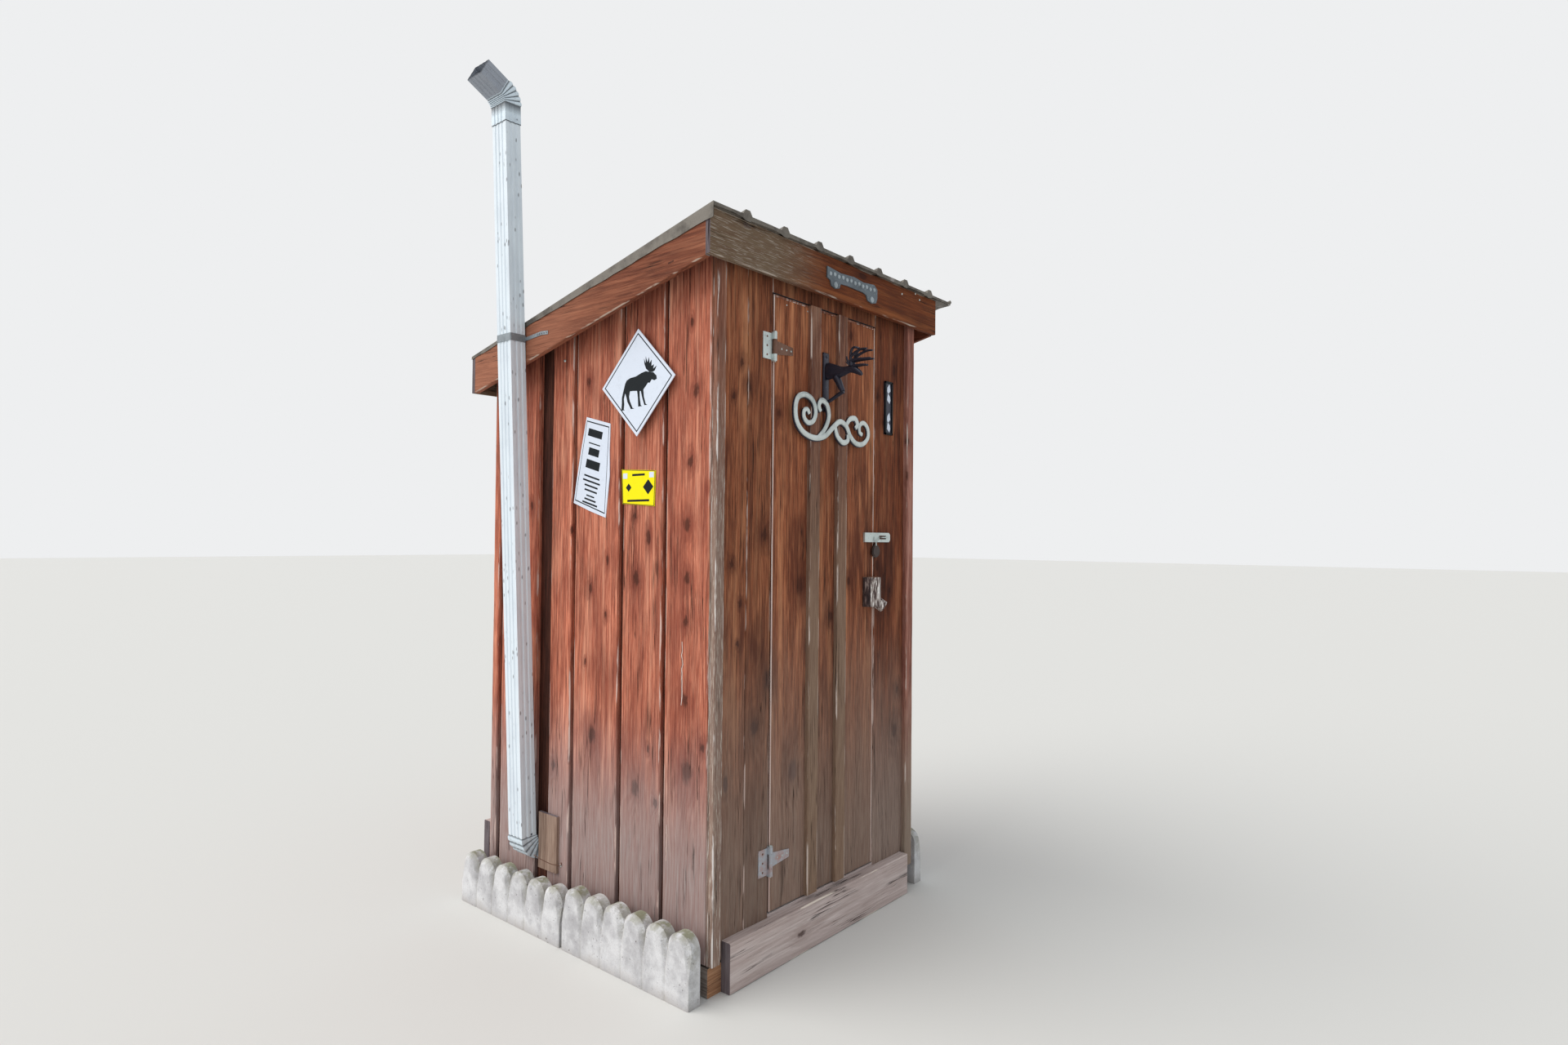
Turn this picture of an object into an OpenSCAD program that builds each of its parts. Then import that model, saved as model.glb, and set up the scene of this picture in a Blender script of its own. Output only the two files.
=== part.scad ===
// Wooden outhouse with a lean-to sheet roof, a hinged plank door and a square vent pipe.
// The front faces -Y, the pipe stands on the -X side and Z = 0 is the ground.
// Every place below is measured from the cabin's front left lower corner,
// and in_frame() then moves the whole to the centre of its base.

/* [Cabin] */
// Width of the cabin over its side walls
body_w = 1140; // [1080:10:1300]
// Depth of the cabin over its front and back walls
body_d = 1180; // [1120:10:1350]
// Height of the wall boards' lower edge
wall_z = 97; // [92:1:110]
// Thickness of one board
board_t = 19; // [16:1:22]
// Width of the trim on the front's right corner, the left one is as wide as the wall is thick
right_trim_w = 48; // [38:1:60]
// Side of the square corner posts, girts and plates
post_w = 38; // [34:1:50]

/* [Floor] */
// Side of the square skids that the cabin rests on
skid_w = 89; // [70:1:90]
// Height of the floor joists
joist_h = 57; // [45:1:60]
// Number of floor joists
joist_count = 5; // [4:1:6]

/* [Roof] */
// Slope of the roof, falling to the back
roof_slope = 13; // [8:0.5:16]
// Height of the fascia boards
fascia_h = 140; // [100:1:140]
// Overhang of the fascia boards' outer faces past the side walls
side_out = 87; // [60:1:100]
// Overhang of the front fascia's outer face
front_out = 66; // [45:1:75]
// Overhang of the back fascia's outer face
back_out = 29; // [25:1:40]
// Height of a rafter
rafter_h = 64; // [50:1:80]
// Overhang of the roof sheet past the front fascia
sheet_front_out = 14; // [5:1:20]
// Overhang of the roof sheet past the right fascia
sheet_right_out = 107; // [40:1:120]
// Thickness of the roof sheet
sheet_t = 1.5; // [1:0.1:3]
// Height of the ribs on the roof sheet
rib_h = 18; // [10:1:25]
// Number of ribs across the roof sheet
rib_count = 7; // [5:1:9]
// Distance between the ribs
rib_pitch = 182.5; // [120:0.5:190]

/* [Door] */
// Distance of the door's hinge edge from the left wall's outer face
door_x = 283; // [270:1:300]
// Width of the door
door_w = 597; // [560:1:620]
// Height of the door
door_h = 2029; // [1900:1:2100]
// Height of the wall between the door's opening and the roof deck
head_h = 134; // [120:1:200]
// Clear gap round the door
door_gap = 6; // [5.5:0.1:8]
// Width of the raised battens on the door
batten_w = 56; // [48:1:72]
// How far the battens stand off the door
batten_t = 16; // [10:1:19]

/* [Hinges] */
// Radius of a hinge barrel
barrel_r = 7; // [5.5:0.1:7.5]
// Radius of a hinge pin
pin_r = 3; // [2:0.1:3.5]
// Thickness of the hinge leaves
leaf_t = 2.5; // [2:0.1:3]
// Length of a hinge strap from its pin
strap_len = 103; // [80:1:120]

/* [Pipe] */
// Width of the vent pipe along the wall
pipe_w = 83; // [70:1:90]
// Depth of the vent pipe away from the wall
pipe_d = 60; // [45:1:65]
// Thickness of the pipe's sheet metal
pipe_t = 1.5; // [1:0.1:2]
// Distance of the pipe's middle from the front face
pipe_y = 897; // [885:1:905]
// Height of the straight pipe's lower end
pipe_z = 310; // [305:1:340]
// Height at which the upper elbow's collar begins
pipe_top_z = 2865; // [2500:5:2900]
// Bend of the upper elbow
top_bend = 60; // [40:1:75]

/* [Edging] */
// Thickness of the concrete edging
edging_t = 50; // [40:1:55]
// Width of one round-topped post of the edging
post_pitch = 101.6; // [90:0.1:101.6]
// Posts in one section of edging
edging_posts = 6; // [4:1:6]
// Bevel round the posts' outer faces
edging_bevel = 14; // [6:1:20]
// Height of the front section of edging
edging_front_h = 211; // [180:1:215]
// Height of the back section of edging
edging_back_h = 189; // [170:1:200]

/* [Hidden] */
$fn = 48;

// Clearance between pieces that lie beside each other without being one face
seat = 0.3;
// Overshoot of a cutting solid past the face that it cuts
cut = 1;

// Walls are two boards thick
wall_t = 2 * board_t;
floor_z = skid_w + joist_h + board_t;

// Door and its frame
door_z = floor_z + door_gap;
door_x1 = door_x + door_w;
door_top_z = door_z + door_h;
opening_x0 = door_x - door_gap;
opening_x1 = door_x1 + door_gap;
opening_z1 = door_top_z + door_gap;
stop_lap = 12;
stop_gap = 5;
jamb_w = 38;
batten_xs = [184, 346];
ledge_t = 16;
ledge_h = 90;
ledge_inset = 45;
low_ledge_rise = 120;
middle_ledge_rise = 970;
top_ledge_drop = 239;
ledge_zs = [door_z + low_ledge_rise, door_z + middle_ledge_rise, door_top_z - top_ledge_drop];

// Underside and top of the roof deck over a point of the plan, y from the front face
eave_z = opening_z1 + head_h;
function deck_z(y) = eave_z - y * tan(roof_slope);
deck_rise = board_t / cos(roof_slope);
function deck_top_z(y) = deck_z(y) + deck_rise;
function under_deck_z(y) = deck_z(y) - seat;
rafter_rise = rafter_h / cos(roof_slope);
front_in = front_out - board_t;
back_in = back_out - board_t;
side_in = side_out - board_t;
front_fascia_z = deck_top_z(-front_in) - fascia_h;
back_fascia_z = deck_top_z(body_d + back_out) - fascia_h;
rake_drop = fascia_h / cos(roof_slope);

// Roof sheet
sheet_y0 = -front_out - sheet_front_out;
sheet_y1 = body_d + back_out + 3;
sheet_x0 = -side_out - seat - sheet_t;
sheet_x1 = body_w + side_out + sheet_right_out;
rib_shift = 40;
first_rib_x = (body_w - (rib_count - 1) * rib_pitch) / 2 + rib_shift;
rib_foot = 42;
rib_crest = 18;
roll_r = 7;
function sheet_z(y) = deck_top_z(y) + seat;
apron_front_h = 47;
apron_back_h = 10;
function apron_h(y) = apron_front_h
    + (apron_back_h - apron_front_h) * (y - sheet_y0) / (sheet_y1 - sheet_y0);

// Hinges
hinge_x = door_x - 3;
hinge_y = -barrel_r - 2;
knuckle_gap = 0.5;
barrel_h = 96;
middle_knuckle_h = 48;
plate_w = 44;
plate_h = 87;
plate_back = 8;
low_hinge_rise = 167;
top_hinge_drop = 176;
hinge_zs = [door_z + low_hinge_rise, door_top_z - top_hinge_drop];
bore_r = pin_r + seat;
pin_head_r = 5.5;
pin_head_h = 3;

// Hasp, its staple and the handle block
hasp_rise = 1228;
hasp_z = door_z + hasp_rise;
hasp_base_x = door_x1 - 67;
hasp_tip_x = opening_x1 + 100;
hasp_h = 36;
hasp_t = 3;
hasp_off = 5;
hasp_base_w = 18;
slot_x = opening_x1 + 23;
slot_w = 48;
slot_h = 14;
staple_r = 2.5;
staple_reach = 24;
staple_half_w = 12;
block_r = 43;
block_off = 8;
block_x = door_x1 - 30;
block_rise = 967;
block_z = door_z + block_rise;
block_h = 112;
branch_rise = 32;
branch_r = 18.5;
branch_len = 58;
branch_turn = 122;
branch_aside = 42;

// Coat hook between the battens, a leaping stag that stands out from its back plate.
// Its outlines give the distance from the door and the height above the plate's lower end.
hook_drop = 358;
hook_z = door_top_z - hook_drop;
hook_h = 210;
hook_x = door_x + 283;
hook_w = 32;
hook_plate_t = 8;
stag_body = [
    [6, 174], [30, 170], [46, 164], [62, 158], [78, 153], [97, 152], [106, 154], [119, 157],
    [130, 152], [146, 143], [155, 130], [161, 120], [157, 113], [150, 112], [142, 116], [134, 121],
    [129, 124], [114, 128], [100, 124], [78, 113], [60, 111], [34, 113], [6, 114]
];
stag_leg = [
    [34, 116], [67, 114], [78, 88], [90, 66], [73, 59], [45, 46], [6, 26],
    [6, 38], [28, 49], [55, 66], [46, 84], [36, 104]
];
// One antler, up its back with the small back tine, then down its four forward tines
stag_antler = [
    [112, 148], [110, 162], [102, 172], [101, 185], [106, 185], [109, 175], [117, 168],
    [119, 190], [125, 207], [140, 214], [161, 208], [159, 203], [141, 207], [134, 200],
    [150, 198], [172, 204], [191, 202], [190, 197], [173, 197], [153, 188],
    [152, 176], [170, 172], [205, 170], [205, 165], [170, 165], [150, 167],
    [146, 158], [160, 152], [182, 150], [182, 145], [159, 145], [138, 148]
];
body_half_t = 13;
leg_half_t = 6;
antler_half_t = 3.5;
antler_aside = 5;
antler_spread = 14;
antler_root = [0, -118, 150];
hook_reach = max([for (p = concat(stag_body, stag_antler)) p[0]]);

// Pipe
pipe_back = 15;
pipe_strap_h = 28;
strap_drop = 5;
rake_low_z = deck_top_z(pipe_y + pipe_w / 2) - rake_drop;
pipe_lean = atan((side_out + seat - pipe_back) / (rake_low_z - pipe_z));
pipe_len = (pipe_top_z - pipe_z) / cos(pipe_lean);
elbow_in_r = 28;
collar_h = 65;
collar_lap = 40;
collar_margin = seat + pipe_t;
spout_len = 92;
pleat_count = 5;
pleat_out = 3;
wide_flutes = 3;
narrow_flutes = 2;
flute_mouth = 6;
flute_floor = 3.5;
flute_depth = 2.5;
bottom_bend = 85;

// Board that patches the wall beside the pipe's lower end
patch_gap = 7;
patch_w = 108;
patch_z = 195;
patch_h = 200;
patch_t = 12;

// Edging
edging_off = 40;
edging_gap = 14.4;
edging_y0 = -10;
edging_len = post_pitch * edging_posts;
notch_fill = 10;
groove_w = 16;
groove_depth = 5;

// Planks round the foot
plank_t = 38;
plank_h = 155;
front_plank_inset = 60;
back_plank_h = 285;

// Outermost points of the whole, from which its base's centre is worked out
tip_x = -pipe_back
    - (pipe_d + elbow_in_r - (elbow_in_r - collar_margin) * cos(top_bend) + spout_len * sin(top_bend))
        * cos(pipe_lean)
    - (pipe_len + collar_h + (elbow_in_r - collar_margin) * sin(top_bend) + spout_len * cos(top_bend))
        * sin(pipe_lean);
back_y = edging_y0 + 2 * edging_len + edging_gap;
centre_x = (min(tip_x, sheet_x0) + sheet_x1) / 2;
centre_y = (min(sheet_y0, -hook_reach) + max(back_y, sheet_y1 + (rib_h + sheet_t) * sin(roof_slope))) / 2;

// Placing and basic solids

module in_frame() {
    translate([-centre_x, -centre_y, 0])
        children();
}

// Box from its lowest to its highest corner
module slab(x0, x1, y0, y1, z0, z1) {
    translate([x0, y0, z0])
        cube([x1 - x0, y1 - y0, z1 - z0]);
}

// Outline drawn in Y and Z, made solid from x0 to x1
module side_solid(x0, x1) {
    translate([x0, 0, 0])
        rotate([90, 0, 90])
            linear_extrude(x1 - x0)
                children();
}

// Outline drawn in X and Z, made solid from y0 to y1
module front_solid(y0, y1) {
    translate([0, y1, 0])
        rotate([90, 0, 0])
            linear_extrude(y1 - y0)
                children();
}

module mirrored() {
    translate([body_w, 0, 0])
        mirror([1, 0, 0])
            children();
}

// Part of a wall across the cabin, between two depths, up to the roof deck
module wall_to_deck(x0, x1, y0, y1, z0) {
    side_solid(x0, x1)
        polygon([[y0, z0], [y1, z0], [y1, under_deck_z(y1)], [y0, under_deck_z(y0)]]);
}

// Floor

module skids() {
    color("dimgray") {
        slab(0, skid_w, 0, body_d, 0, skid_w);
        slab(body_w - skid_w, body_w, 0, body_d, 0, skid_w);
    }
}

module floor_frame() {
    joist_w = 38;
    inner_w = body_w - 2 * wall_t;
    bay_w = (inner_w - joist_count * joist_w) / (joist_count - 1);
    color("peru")
        difference() {
            slab(wall_t, body_w - wall_t, wall_t, body_d - wall_t, skid_w, skid_w + joist_h);
            for (i = [0 : joist_count - 2])
                translate([wall_t + joist_w + i * (bay_w + joist_w), wall_t + joist_w, skid_w - cut])
                    cube([bay_w, body_d - 2 * wall_t - 2 * joist_w, joist_h + 2 * cut]);
        }
}

module floor_boards() {
    color("tan")
        slab(wall_t, body_w - wall_t, wall_t, body_d - wall_t, floor_z - board_t, floor_z);
}

// Frame of the walls

plate_under_z = deck_z(wall_t + post_w) - rafter_rise - post_w;
back_plate_under_z = deck_z(body_d - wall_t) - rafter_rise - post_w;

module corner_posts() {
    color("burlywood")
        for (side = [0, 1])
            translate([side * (body_w - 2 * wall_t - post_w), 0, 0]) {
                slab(wall_t, wall_t + post_w, wall_t, wall_t + post_w, floor_z, plate_under_z);
                slab(wall_t, wall_t + post_w, body_d - wall_t - post_w, body_d - wall_t,
                    floor_z, back_plate_under_z);
            }
}

// Upright beside the opening at X = 0 with a lip that the closed door stops against
module jamb() {
    slab(-stop_lap, jamb_w - stop_lap, wall_t, wall_t + post_w, floor_z, plate_under_z);
    slab(-stop_lap, 0, board_t + stop_gap, wall_t + cut, floor_z, opening_z1);
}

module right_jamb() {
    color("burlywood")
        translate([opening_x1, 0, 0])
            jamb();
}

module left_jamb() {
    color("burlywood")
        translate([opening_x0, 0, 0])
            mirror([1, 0, 0])
                jamb();
}

module wall_girts() {
    side_z = 1130;
    back_z = side_z + 2 * post_w;
    color("burlywood") {
        for (side = [0, 1])
            translate([side * (body_w - 2 * wall_t - post_w), 0, 0])
                slab(wall_t, wall_t + post_w, wall_t + post_w, body_d - wall_t - post_w,
                    side_z, side_z + post_w);
        slab(wall_t + post_w, body_w - wall_t - post_w, body_d - wall_t - post_w, body_d - wall_t,
            back_z, back_z + post_w);
    }
}

// A plate across the cabin with its top cut to the rafters
module plate_at(y0, z0) {
    y1 = y0 + post_w;
    side_solid(wall_t, body_w - wall_t)
        polygon([
            [y0, z0], [y1, z0],
            [y1, under_deck_z(y1) - rafter_rise], [y0, under_deck_z(y0) - rafter_rise]
        ]);
}

module top_plates() {
    color("burlywood") {
        plate_at(wall_t, plate_under_z);
        plate_at(body_d - wall_t - post_w, back_plate_under_z);
    }
}

// Roof

module rafters() {
    step = (body_w - 2 * wall_t - post_w) / 2;
    y0 = wall_t;
    y1 = body_d - wall_t;
    color("burlywood")
        for (i = [0 : 2])
            side_solid(wall_t + i * step, wall_t + i * step + post_w)
                polygon([
                    [y0, deck_z(y0) - rafter_rise], [y1, deck_z(y1) - rafter_rise],
                    [y1, under_deck_z(y1)], [y0, under_deck_z(y0)]
                ]);
}

module roof_deck() {
    y0 = -front_in;
    y1 = body_d + back_in;
    color("tan")
        side_solid(-side_in, body_w + side_in)
            polygon([[y0, deck_z(y0)], [y1, deck_z(y1)], [y1, deck_top_z(y1)], [y0, deck_top_z(y0)]]);
}

// Ribs of the roof sheet, each with its foot, crest and foot again
function rib_line(lift) = [
    for (i = [0 : rib_count - 1])
        for (p = [[-rib_foot, 0], [-rib_crest, rib_h], [rib_crest, rib_h], [rib_foot, 0]])
            [first_rib_x + i * rib_pitch + p[0] / 2, p[1] + lift]
];

function backwards(list) = [for (i = [len(list) - 1 : -1 : 0]) list[i]];

module roof_sheet() {
    length = (sheet_y1 - sheet_y0) / cos(roof_slope);
    apron_x = sheet_x0 + sheet_t;
    lap = sheet_t / 2;
    color("slategray") {
        translate([0, sheet_y1, sheet_z(sheet_y1)])
            rotate([90 - roof_slope, 0, 0])
                linear_extrude(length) {
                    polygon(concat(
                        [[sheet_x0, 0]], rib_line(0), [[sheet_x1 - roll_r, 0], [sheet_x1 - roll_r, sheet_t]],
                        backwards(rib_line(sheet_t)), [[sheet_x0, sheet_t]]
                    ));
                    translate([sheet_x1 - roll_r, roll_r])
                        circle(r = roll_r);
                }
        side_solid(sheet_x0, apron_x)
            polygon([
                [sheet_y0, sheet_z(sheet_y0) + lap], [sheet_y0, sheet_z(sheet_y0) - apron_h(sheet_y0)],
                [sheet_y1, sheet_z(sheet_y1) - apron_h(sheet_y1)], [sheet_y1, sheet_z(sheet_y1) + lap]
            ]);
    }
}

module front_fascia() {
    color("sienna")
        slab(-side_out, body_w + side_out, -front_out, -front_in, front_fascia_z, front_fascia_z + fascia_h);
}

module back_fascia() {
    color("sienna")
        slab(-side_out, body_w + side_out, body_d + back_in, body_d + back_out,
            back_fascia_z, back_fascia_z + fascia_h);
}

module left_fascia() {
    y0 = -front_in;
    y1 = body_d + back_in;
    color("sienna")
        side_solid(-side_out, -side_in)
            polygon([
                [y0, deck_top_z(y0) - rake_drop], [y1, deck_top_z(y1) - rake_drop],
                [y1, deck_top_z(y1)], [y0, deck_top_z(y0)]
            ]);
}

module right_fascia() {
    mirrored()
        left_fascia();
}

// Walls

// Open joints between the boards of a side wall, each as its start and width from the front
side_joints = [[203, 19], [413, 21], [670, 21], [810, 80], [1116, 28]];
joint_depth = 16;

module left_wall() {
    color("indianred")
        difference() {
            wall_to_deck(0, wall_t, 0, body_d, wall_z);
            for (joint = side_joints)
                translate([-cut, joint[0], wall_z - cut])
                    cube([joint_depth + cut, joint[1], eave_z]);
        }
}

module right_wall() {
    mirrored()
        left_wall();
}

module back_wall() {
    board_count = 5;
    pitch = (body_w - 2 * wall_t) / board_count;
    gap_w = 20;
    color("indianred")
        difference() {
            wall_to_deck(wall_t, body_w - wall_t, body_d - wall_t, body_d, wall_z);
            for (i = [1 : board_count - 1])
                translate([wall_t + i * pitch - gap_w / 2, body_d - joint_depth, wall_z - cut])
                    cube([gap_w, joint_depth + cut, eave_z]);
        }
}

module front_wall_left() {
    color("brown")
        wall_to_deck(wall_t, opening_x0, 0, wall_t, wall_z);
}

module front_wall_right() {
    color("brown")
        wall_to_deck(opening_x1, body_w - wall_t, 0, wall_t, wall_z);
}

module front_wall_over_door() {
    color("brown")
        wall_to_deck(opening_x0, opening_x1, 0, wall_t, opening_z1);
}

module door_sill() {
    color("gray")
        slab(opening_x0, opening_x1, 0, wall_t, wall_z, floor_z);
}

module left_corner_trim() {
    color("rosybrown")
        wall_to_deck(0, wall_t, -board_t, 0, wall_z);
}

module right_corner_trim() {
    color("rosybrown")
        wall_to_deck(body_w - right_trim_w, body_w, -board_t, 0, wall_z);
}

// Loose planks and edging round the foot

module front_plank() {
    color("gray")
        slab(front_plank_inset, body_w - front_plank_inset, -seat - plank_t, -seat, 0, plank_h);
}

module back_plank() {
    color("gray")
        slab(0, body_w, body_d + seat, body_d + seat + plank_t, 0, back_plank_h);
}

// One round-topped post of the edging, its back at X = 0 and its outer face towards -X
module edging_post(height) {
    r = post_pitch / 2;
    arch_z = height - r;
    straight = edging_t - edging_bevel;
    translate([0, 0, arch_z])
        rotate([0, -90, 0]) {
            cylinder(r = r, h = straight);
            translate([0, 0, straight])
                cylinder(r1 = r, r2 = r - edging_bevel, h = edging_bevel);
        }
    linear_extrude(arch_z + notch_fill)
        polygon([
            [0, -r], [groove_depth - edging_t, -r], [-edging_t, groove_w - r],
            [-edging_t, r - groove_w], [groove_depth - edging_t, r], [0, r]
        ]);
}

module edging_section(height) {
    for (i = [0 : edging_posts - 1])
        translate([-edging_off, (i + 0.5) * post_pitch, 0])
            edging_post(height);
}

module left_edging() {
    color("silver") {
        translate([0, edging_y0, 0])
            edging_section(edging_front_h);
        translate([0, edging_y0 + edging_len + edging_gap, 0])
            edging_section(edging_back_h);
    }
}

module right_edging() {
    mirrored()
        left_edging();
}

// Vent pipe

// Places children in the leaning pipe's own frame, with Z up the pipe from its lower end
module on_pipe() {
    translate([-pipe_back, pipe_y, pipe_z])
        rotate([0, -pipe_lean, 0])
            children();
}

// One side of the fluted pipe as its first corner and its flutes, each point as place and depth
function fluted_side(length, flutes, margin) = [
    [-length / 2 - margin, 0],
    for (i = [1 : flutes])
        let (c = i * length / (flutes + 1) - length / 2)
            each [[c - flute_mouth, 0], [c - flute_floor, flute_depth],
                [c + flute_floor, flute_depth], [c + flute_mouth, 0]]
];

// Outline of the pipe, its inner face at X = 0, grown by a margin all round
function pipe_outline(margin) =
    let (
        wide = fluted_side(pipe_w, wide_flutes, margin),
        narrow = fluted_side(pipe_d, narrow_flutes, margin)
    )
    concat(
        [for (p = wide) [margin - p[1], p[0]]],
        [for (p = narrow) [-pipe_d / 2 - p[0], pipe_w / 2 + margin - p[1]]],
        [for (p = wide) [-pipe_d - margin + p[1], -p[0]]],
        [for (p = narrow) [-pipe_d / 2 + p[0], -pipe_w / 2 - margin + p[1]]]
    );

module vent_pipe() {
    color("white")
        on_pipe()
            linear_extrude(pipe_len + collar_lap)
                difference() {
                    polygon(pipe_outline(0));
                    polygon(pipe_outline(-pipe_t));
                }
}

// A station along an elbow is its turn, its place in X and Z, and how far its pleat stands out.
// The inner face of the pipe turns about a centre elbow_in_r beyond the outer face.
function bend_place(turn, z) = [
    (pipe_d + elbow_in_r) * (cos(turn) - 1),
    z + (pipe_d + elbow_in_r) * sin(turn)
];

function bend_stations(bend, z) = [
    for (i = [0 : 2 * pleat_count])
        let (turn = bend * i / (2 * pleat_count))
            [turn, bend_place(turn, z), i % 2 == 1 ? pleat_out : 0]
];

function station_ring(station, margin) = [
    for (p = pipe_outline(margin + station[2]))
        [station[1][0] + p[0] * cos(station[0]), p[1], station[1][1] + p[0] * sin(station[0])]
];

// Tube of sheet metal through the stations, its outer skin grown by a margin
module sheet_tube(stations, margin) {
    side = len(pipe_outline(0));
    count = len(stations);
    inner = side * count;
    points = concat(
        [for (s = stations) each station_ring(s, margin)],
        [for (s = stations) each station_ring(s, margin - pipe_t)]
    );
    last = side * (count - 1);
    faces = concat(
        [for (k = [0 : count - 2], j = [0 : side - 1])
            let (a = k * side + j, b = k * side + (j + 1) % side)
                [a, a + side, b + side, b]],
        [for (k = [0 : count - 2], j = [0 : side - 1])
            let (a = inner + k * side + j, b = inner + k * side + (j + 1) % side)
                [a, b, b + side, a + side]],
        [for (j = [0 : side - 1])
            let (next = (j + 1) % side)
                [j, next, inner + next, inner + j]],
        [for (j = [0 : side - 1])
            let (next = (j + 1) % side)
                [last + j, last + inner + j, last + inner + next, last + next]]
    );
    polyhedron(points, faces);
}

module top_elbow() {
    bend_end = bend_place(top_bend, collar_h);
    spout_end = bend_end + spout_len * [-sin(top_bend), cos(top_bend)];
    stations = concat(
        [[0, [0, 0], 0]],
        bend_stations(top_bend, collar_h),
        [[top_bend, spout_end, 0]]
    );
    color("gainsboro")
        on_pipe()
            translate([0, 0, pipe_len])
                sheet_tube(stations, collar_margin);
}

module bottom_elbow() {
    color("gainsboro")
        difference() {
            on_pipe()
                translate([-pipe_d, 0, -seat])
                    rotate([180, 0, 180])
                        sheet_tube(bend_stations(bottom_bend, 0), 0);
            slab(-seat, body_w, 0, body_d, 0, pipe_z + collar_h);
        }
}

// Inner face of the pipe at a height, from the left wall's outer face
function pipe_x(z) = -pipe_back - (z - pipe_z) * tan(pipe_lean);

module pipe_strap() {
    band = 1.2;
    foot = 22;
    side_y = pipe_w / 2 + 2 * seat;
    far_y = pipe_y + side_y + foot;
    z0 = deck_top_z(far_y) - apron_h(far_y) - strap_drop - pipe_strap_h;
    near = pipe_x(z0 + pipe_strap_h) - pipe_d - 2 * seat;
    wall_x = -side_out - seat;
    color("silver")
        translate([0, pipe_y, z0])
            linear_extrude(pipe_strap_h)
                difference() {
                    union() {
                        translate([near - band, -side_y - band])
                            square([wall_x - near + band, 2 * side_y + 2 * band]);
                        translate([wall_x - band, -side_y - foot])
                            square([band, 2 * side_y + 2 * foot]);
                    }
                    translate([near, -side_y])
                        square([wall_x - near + cut, 2 * side_y]);
                }
}

module patch_board() {
    y1 = pipe_y - pipe_w / 2 - patch_gap;
    color("tan")
        slab(-patch_t, 0, y1 - patch_w, y1, patch_z, patch_z + patch_h);
}

// Hinges

module on_hinge(i) {
    translate([hinge_x, hinge_y, hinge_zs[i]])
        children();
}

// Knuckle from z0 to z1 with its tongue towards the leaf, which lies in the wall's face
module knuckle(z0, z1, reach) {
    translate([0, 0, z0])
        difference() {
            union() {
                cylinder(r = barrel_r, h = z1 - z0);
                translate([min(reach, 0), 0, 0])
                    cube([abs(reach), -hinge_y, z1 - z0]);
            }
            translate([0, 0, -cut])
                cylinder(r = bore_r, h = z1 - z0 + 2 * cut);
        }
}

module hinge_plate(i) {
    middle = middle_knuckle_h / 2 + knuckle_gap;
    color("silver")
        on_hinge(i) {
            knuckle(middle, barrel_h / 2, -plate_back - 1);
            knuckle(-barrel_h / 2, -middle, -plate_back - 1);
            translate([-plate_back - plate_w, -hinge_y - leaf_t, -plate_h / 2])
                cube([plate_w, leaf_t, plate_h]);
        }
}

module upper_hinge_plate() {
    hinge_plate(1);
}

module lower_hinge_plate() {
    hinge_plate(0);
}

module hinge_strap(i) {
    root_h = middle_knuckle_h;
    tip_h = 26;
    color("sienna")
        on_hinge(i) {
            knuckle(-middle_knuckle_h / 2, middle_knuckle_h / 2, plate_back + 1);
            front_solid(-hinge_y - leaf_t, -hinge_y)
                polygon([
                    [plate_back, -root_h / 2], [strap_len, -tip_h / 2],
                    [strap_len, tip_h / 2], [plate_back, root_h / 2]
                ]);
        }
}

module upper_hinge_strap() {
    hinge_strap(1);
}

module lower_hinge_strap() {
    hinge_strap(0);
}

module hinge_pins() {
    color("silver")
        for (i = [0, 1])
            on_hinge(i) {
                translate([0, 0, -barrel_h / 2 - pin_head_h])
                    cylinder(r = pin_r, h = barrel_h + pin_head_h + seat);
                translate([0, 0, barrel_h / 2 + seat])
                    cylinder(r = pin_head_r, h = pin_head_h);
            }
}

// Door

module door_boards() {
    color("brown")
        slab(door_x, door_x1, 0, board_t, door_z, door_top_z);
}

module door_battens() {
    color("saddlebrown")
        for (x = batten_xs)
            slab(door_x + x, door_x + x + batten_w, -batten_t, 0, door_z, door_top_z);
}

module door_ledges() {
    color("burlywood")
        for (z = ledge_zs)
            slab(door_x + ledge_inset, door_x1 - ledge_inset, board_t, board_t + ledge_t,
                z, z + ledge_h);
}

// Short log with its flat back on the door and the stub of a branch low on its right
module handle_block() {
    off_wall = hasp_off + seat;
    right_x = block_x + 2 * block_r;
    color("sienna")
        difference() {
            translate([block_x, -block_off, block_z]) {
                cylinder(r = block_r, h = block_h);
                translate([0, 0, branch_rise])
                    rotate([0, branch_turn, -branch_aside])
                        cylinder(r = branch_r, h = branch_len);
            }
            slab(block_x - 2 * block_r, right_x, 0, 2 * block_r, 0, 2 * block_z);
            slab(door_x1, right_x, -off_wall, cut, 0, 2 * block_z);
        }
}

module hasp() {
    corner = 8;
    x0 = hasp_base_x;
    x1 = hasp_tip_x;
    z0 = hasp_z - hasp_h / 2;
    z1 = hasp_z + hasp_h / 2;
    color("silver") {
        slab(x0, x0 + hasp_base_w, -hasp_off - hasp_t, 0, z0, z1);
        front_solid(-hasp_off - hasp_t, -hasp_off)
            difference() {
                polygon([
                    [x0 + hasp_base_w - cut, z0], [x1 - corner, z0], [x1, z0 + corner],
                    [x1, z1 - corner], [x1 - corner, z1], [x0 + hasp_base_w - cut, z1]
                ]);
                translate([slot_x, hasp_z - slot_h / 2])
                    square([slot_w, slot_h]);
            }
    }
}

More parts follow.
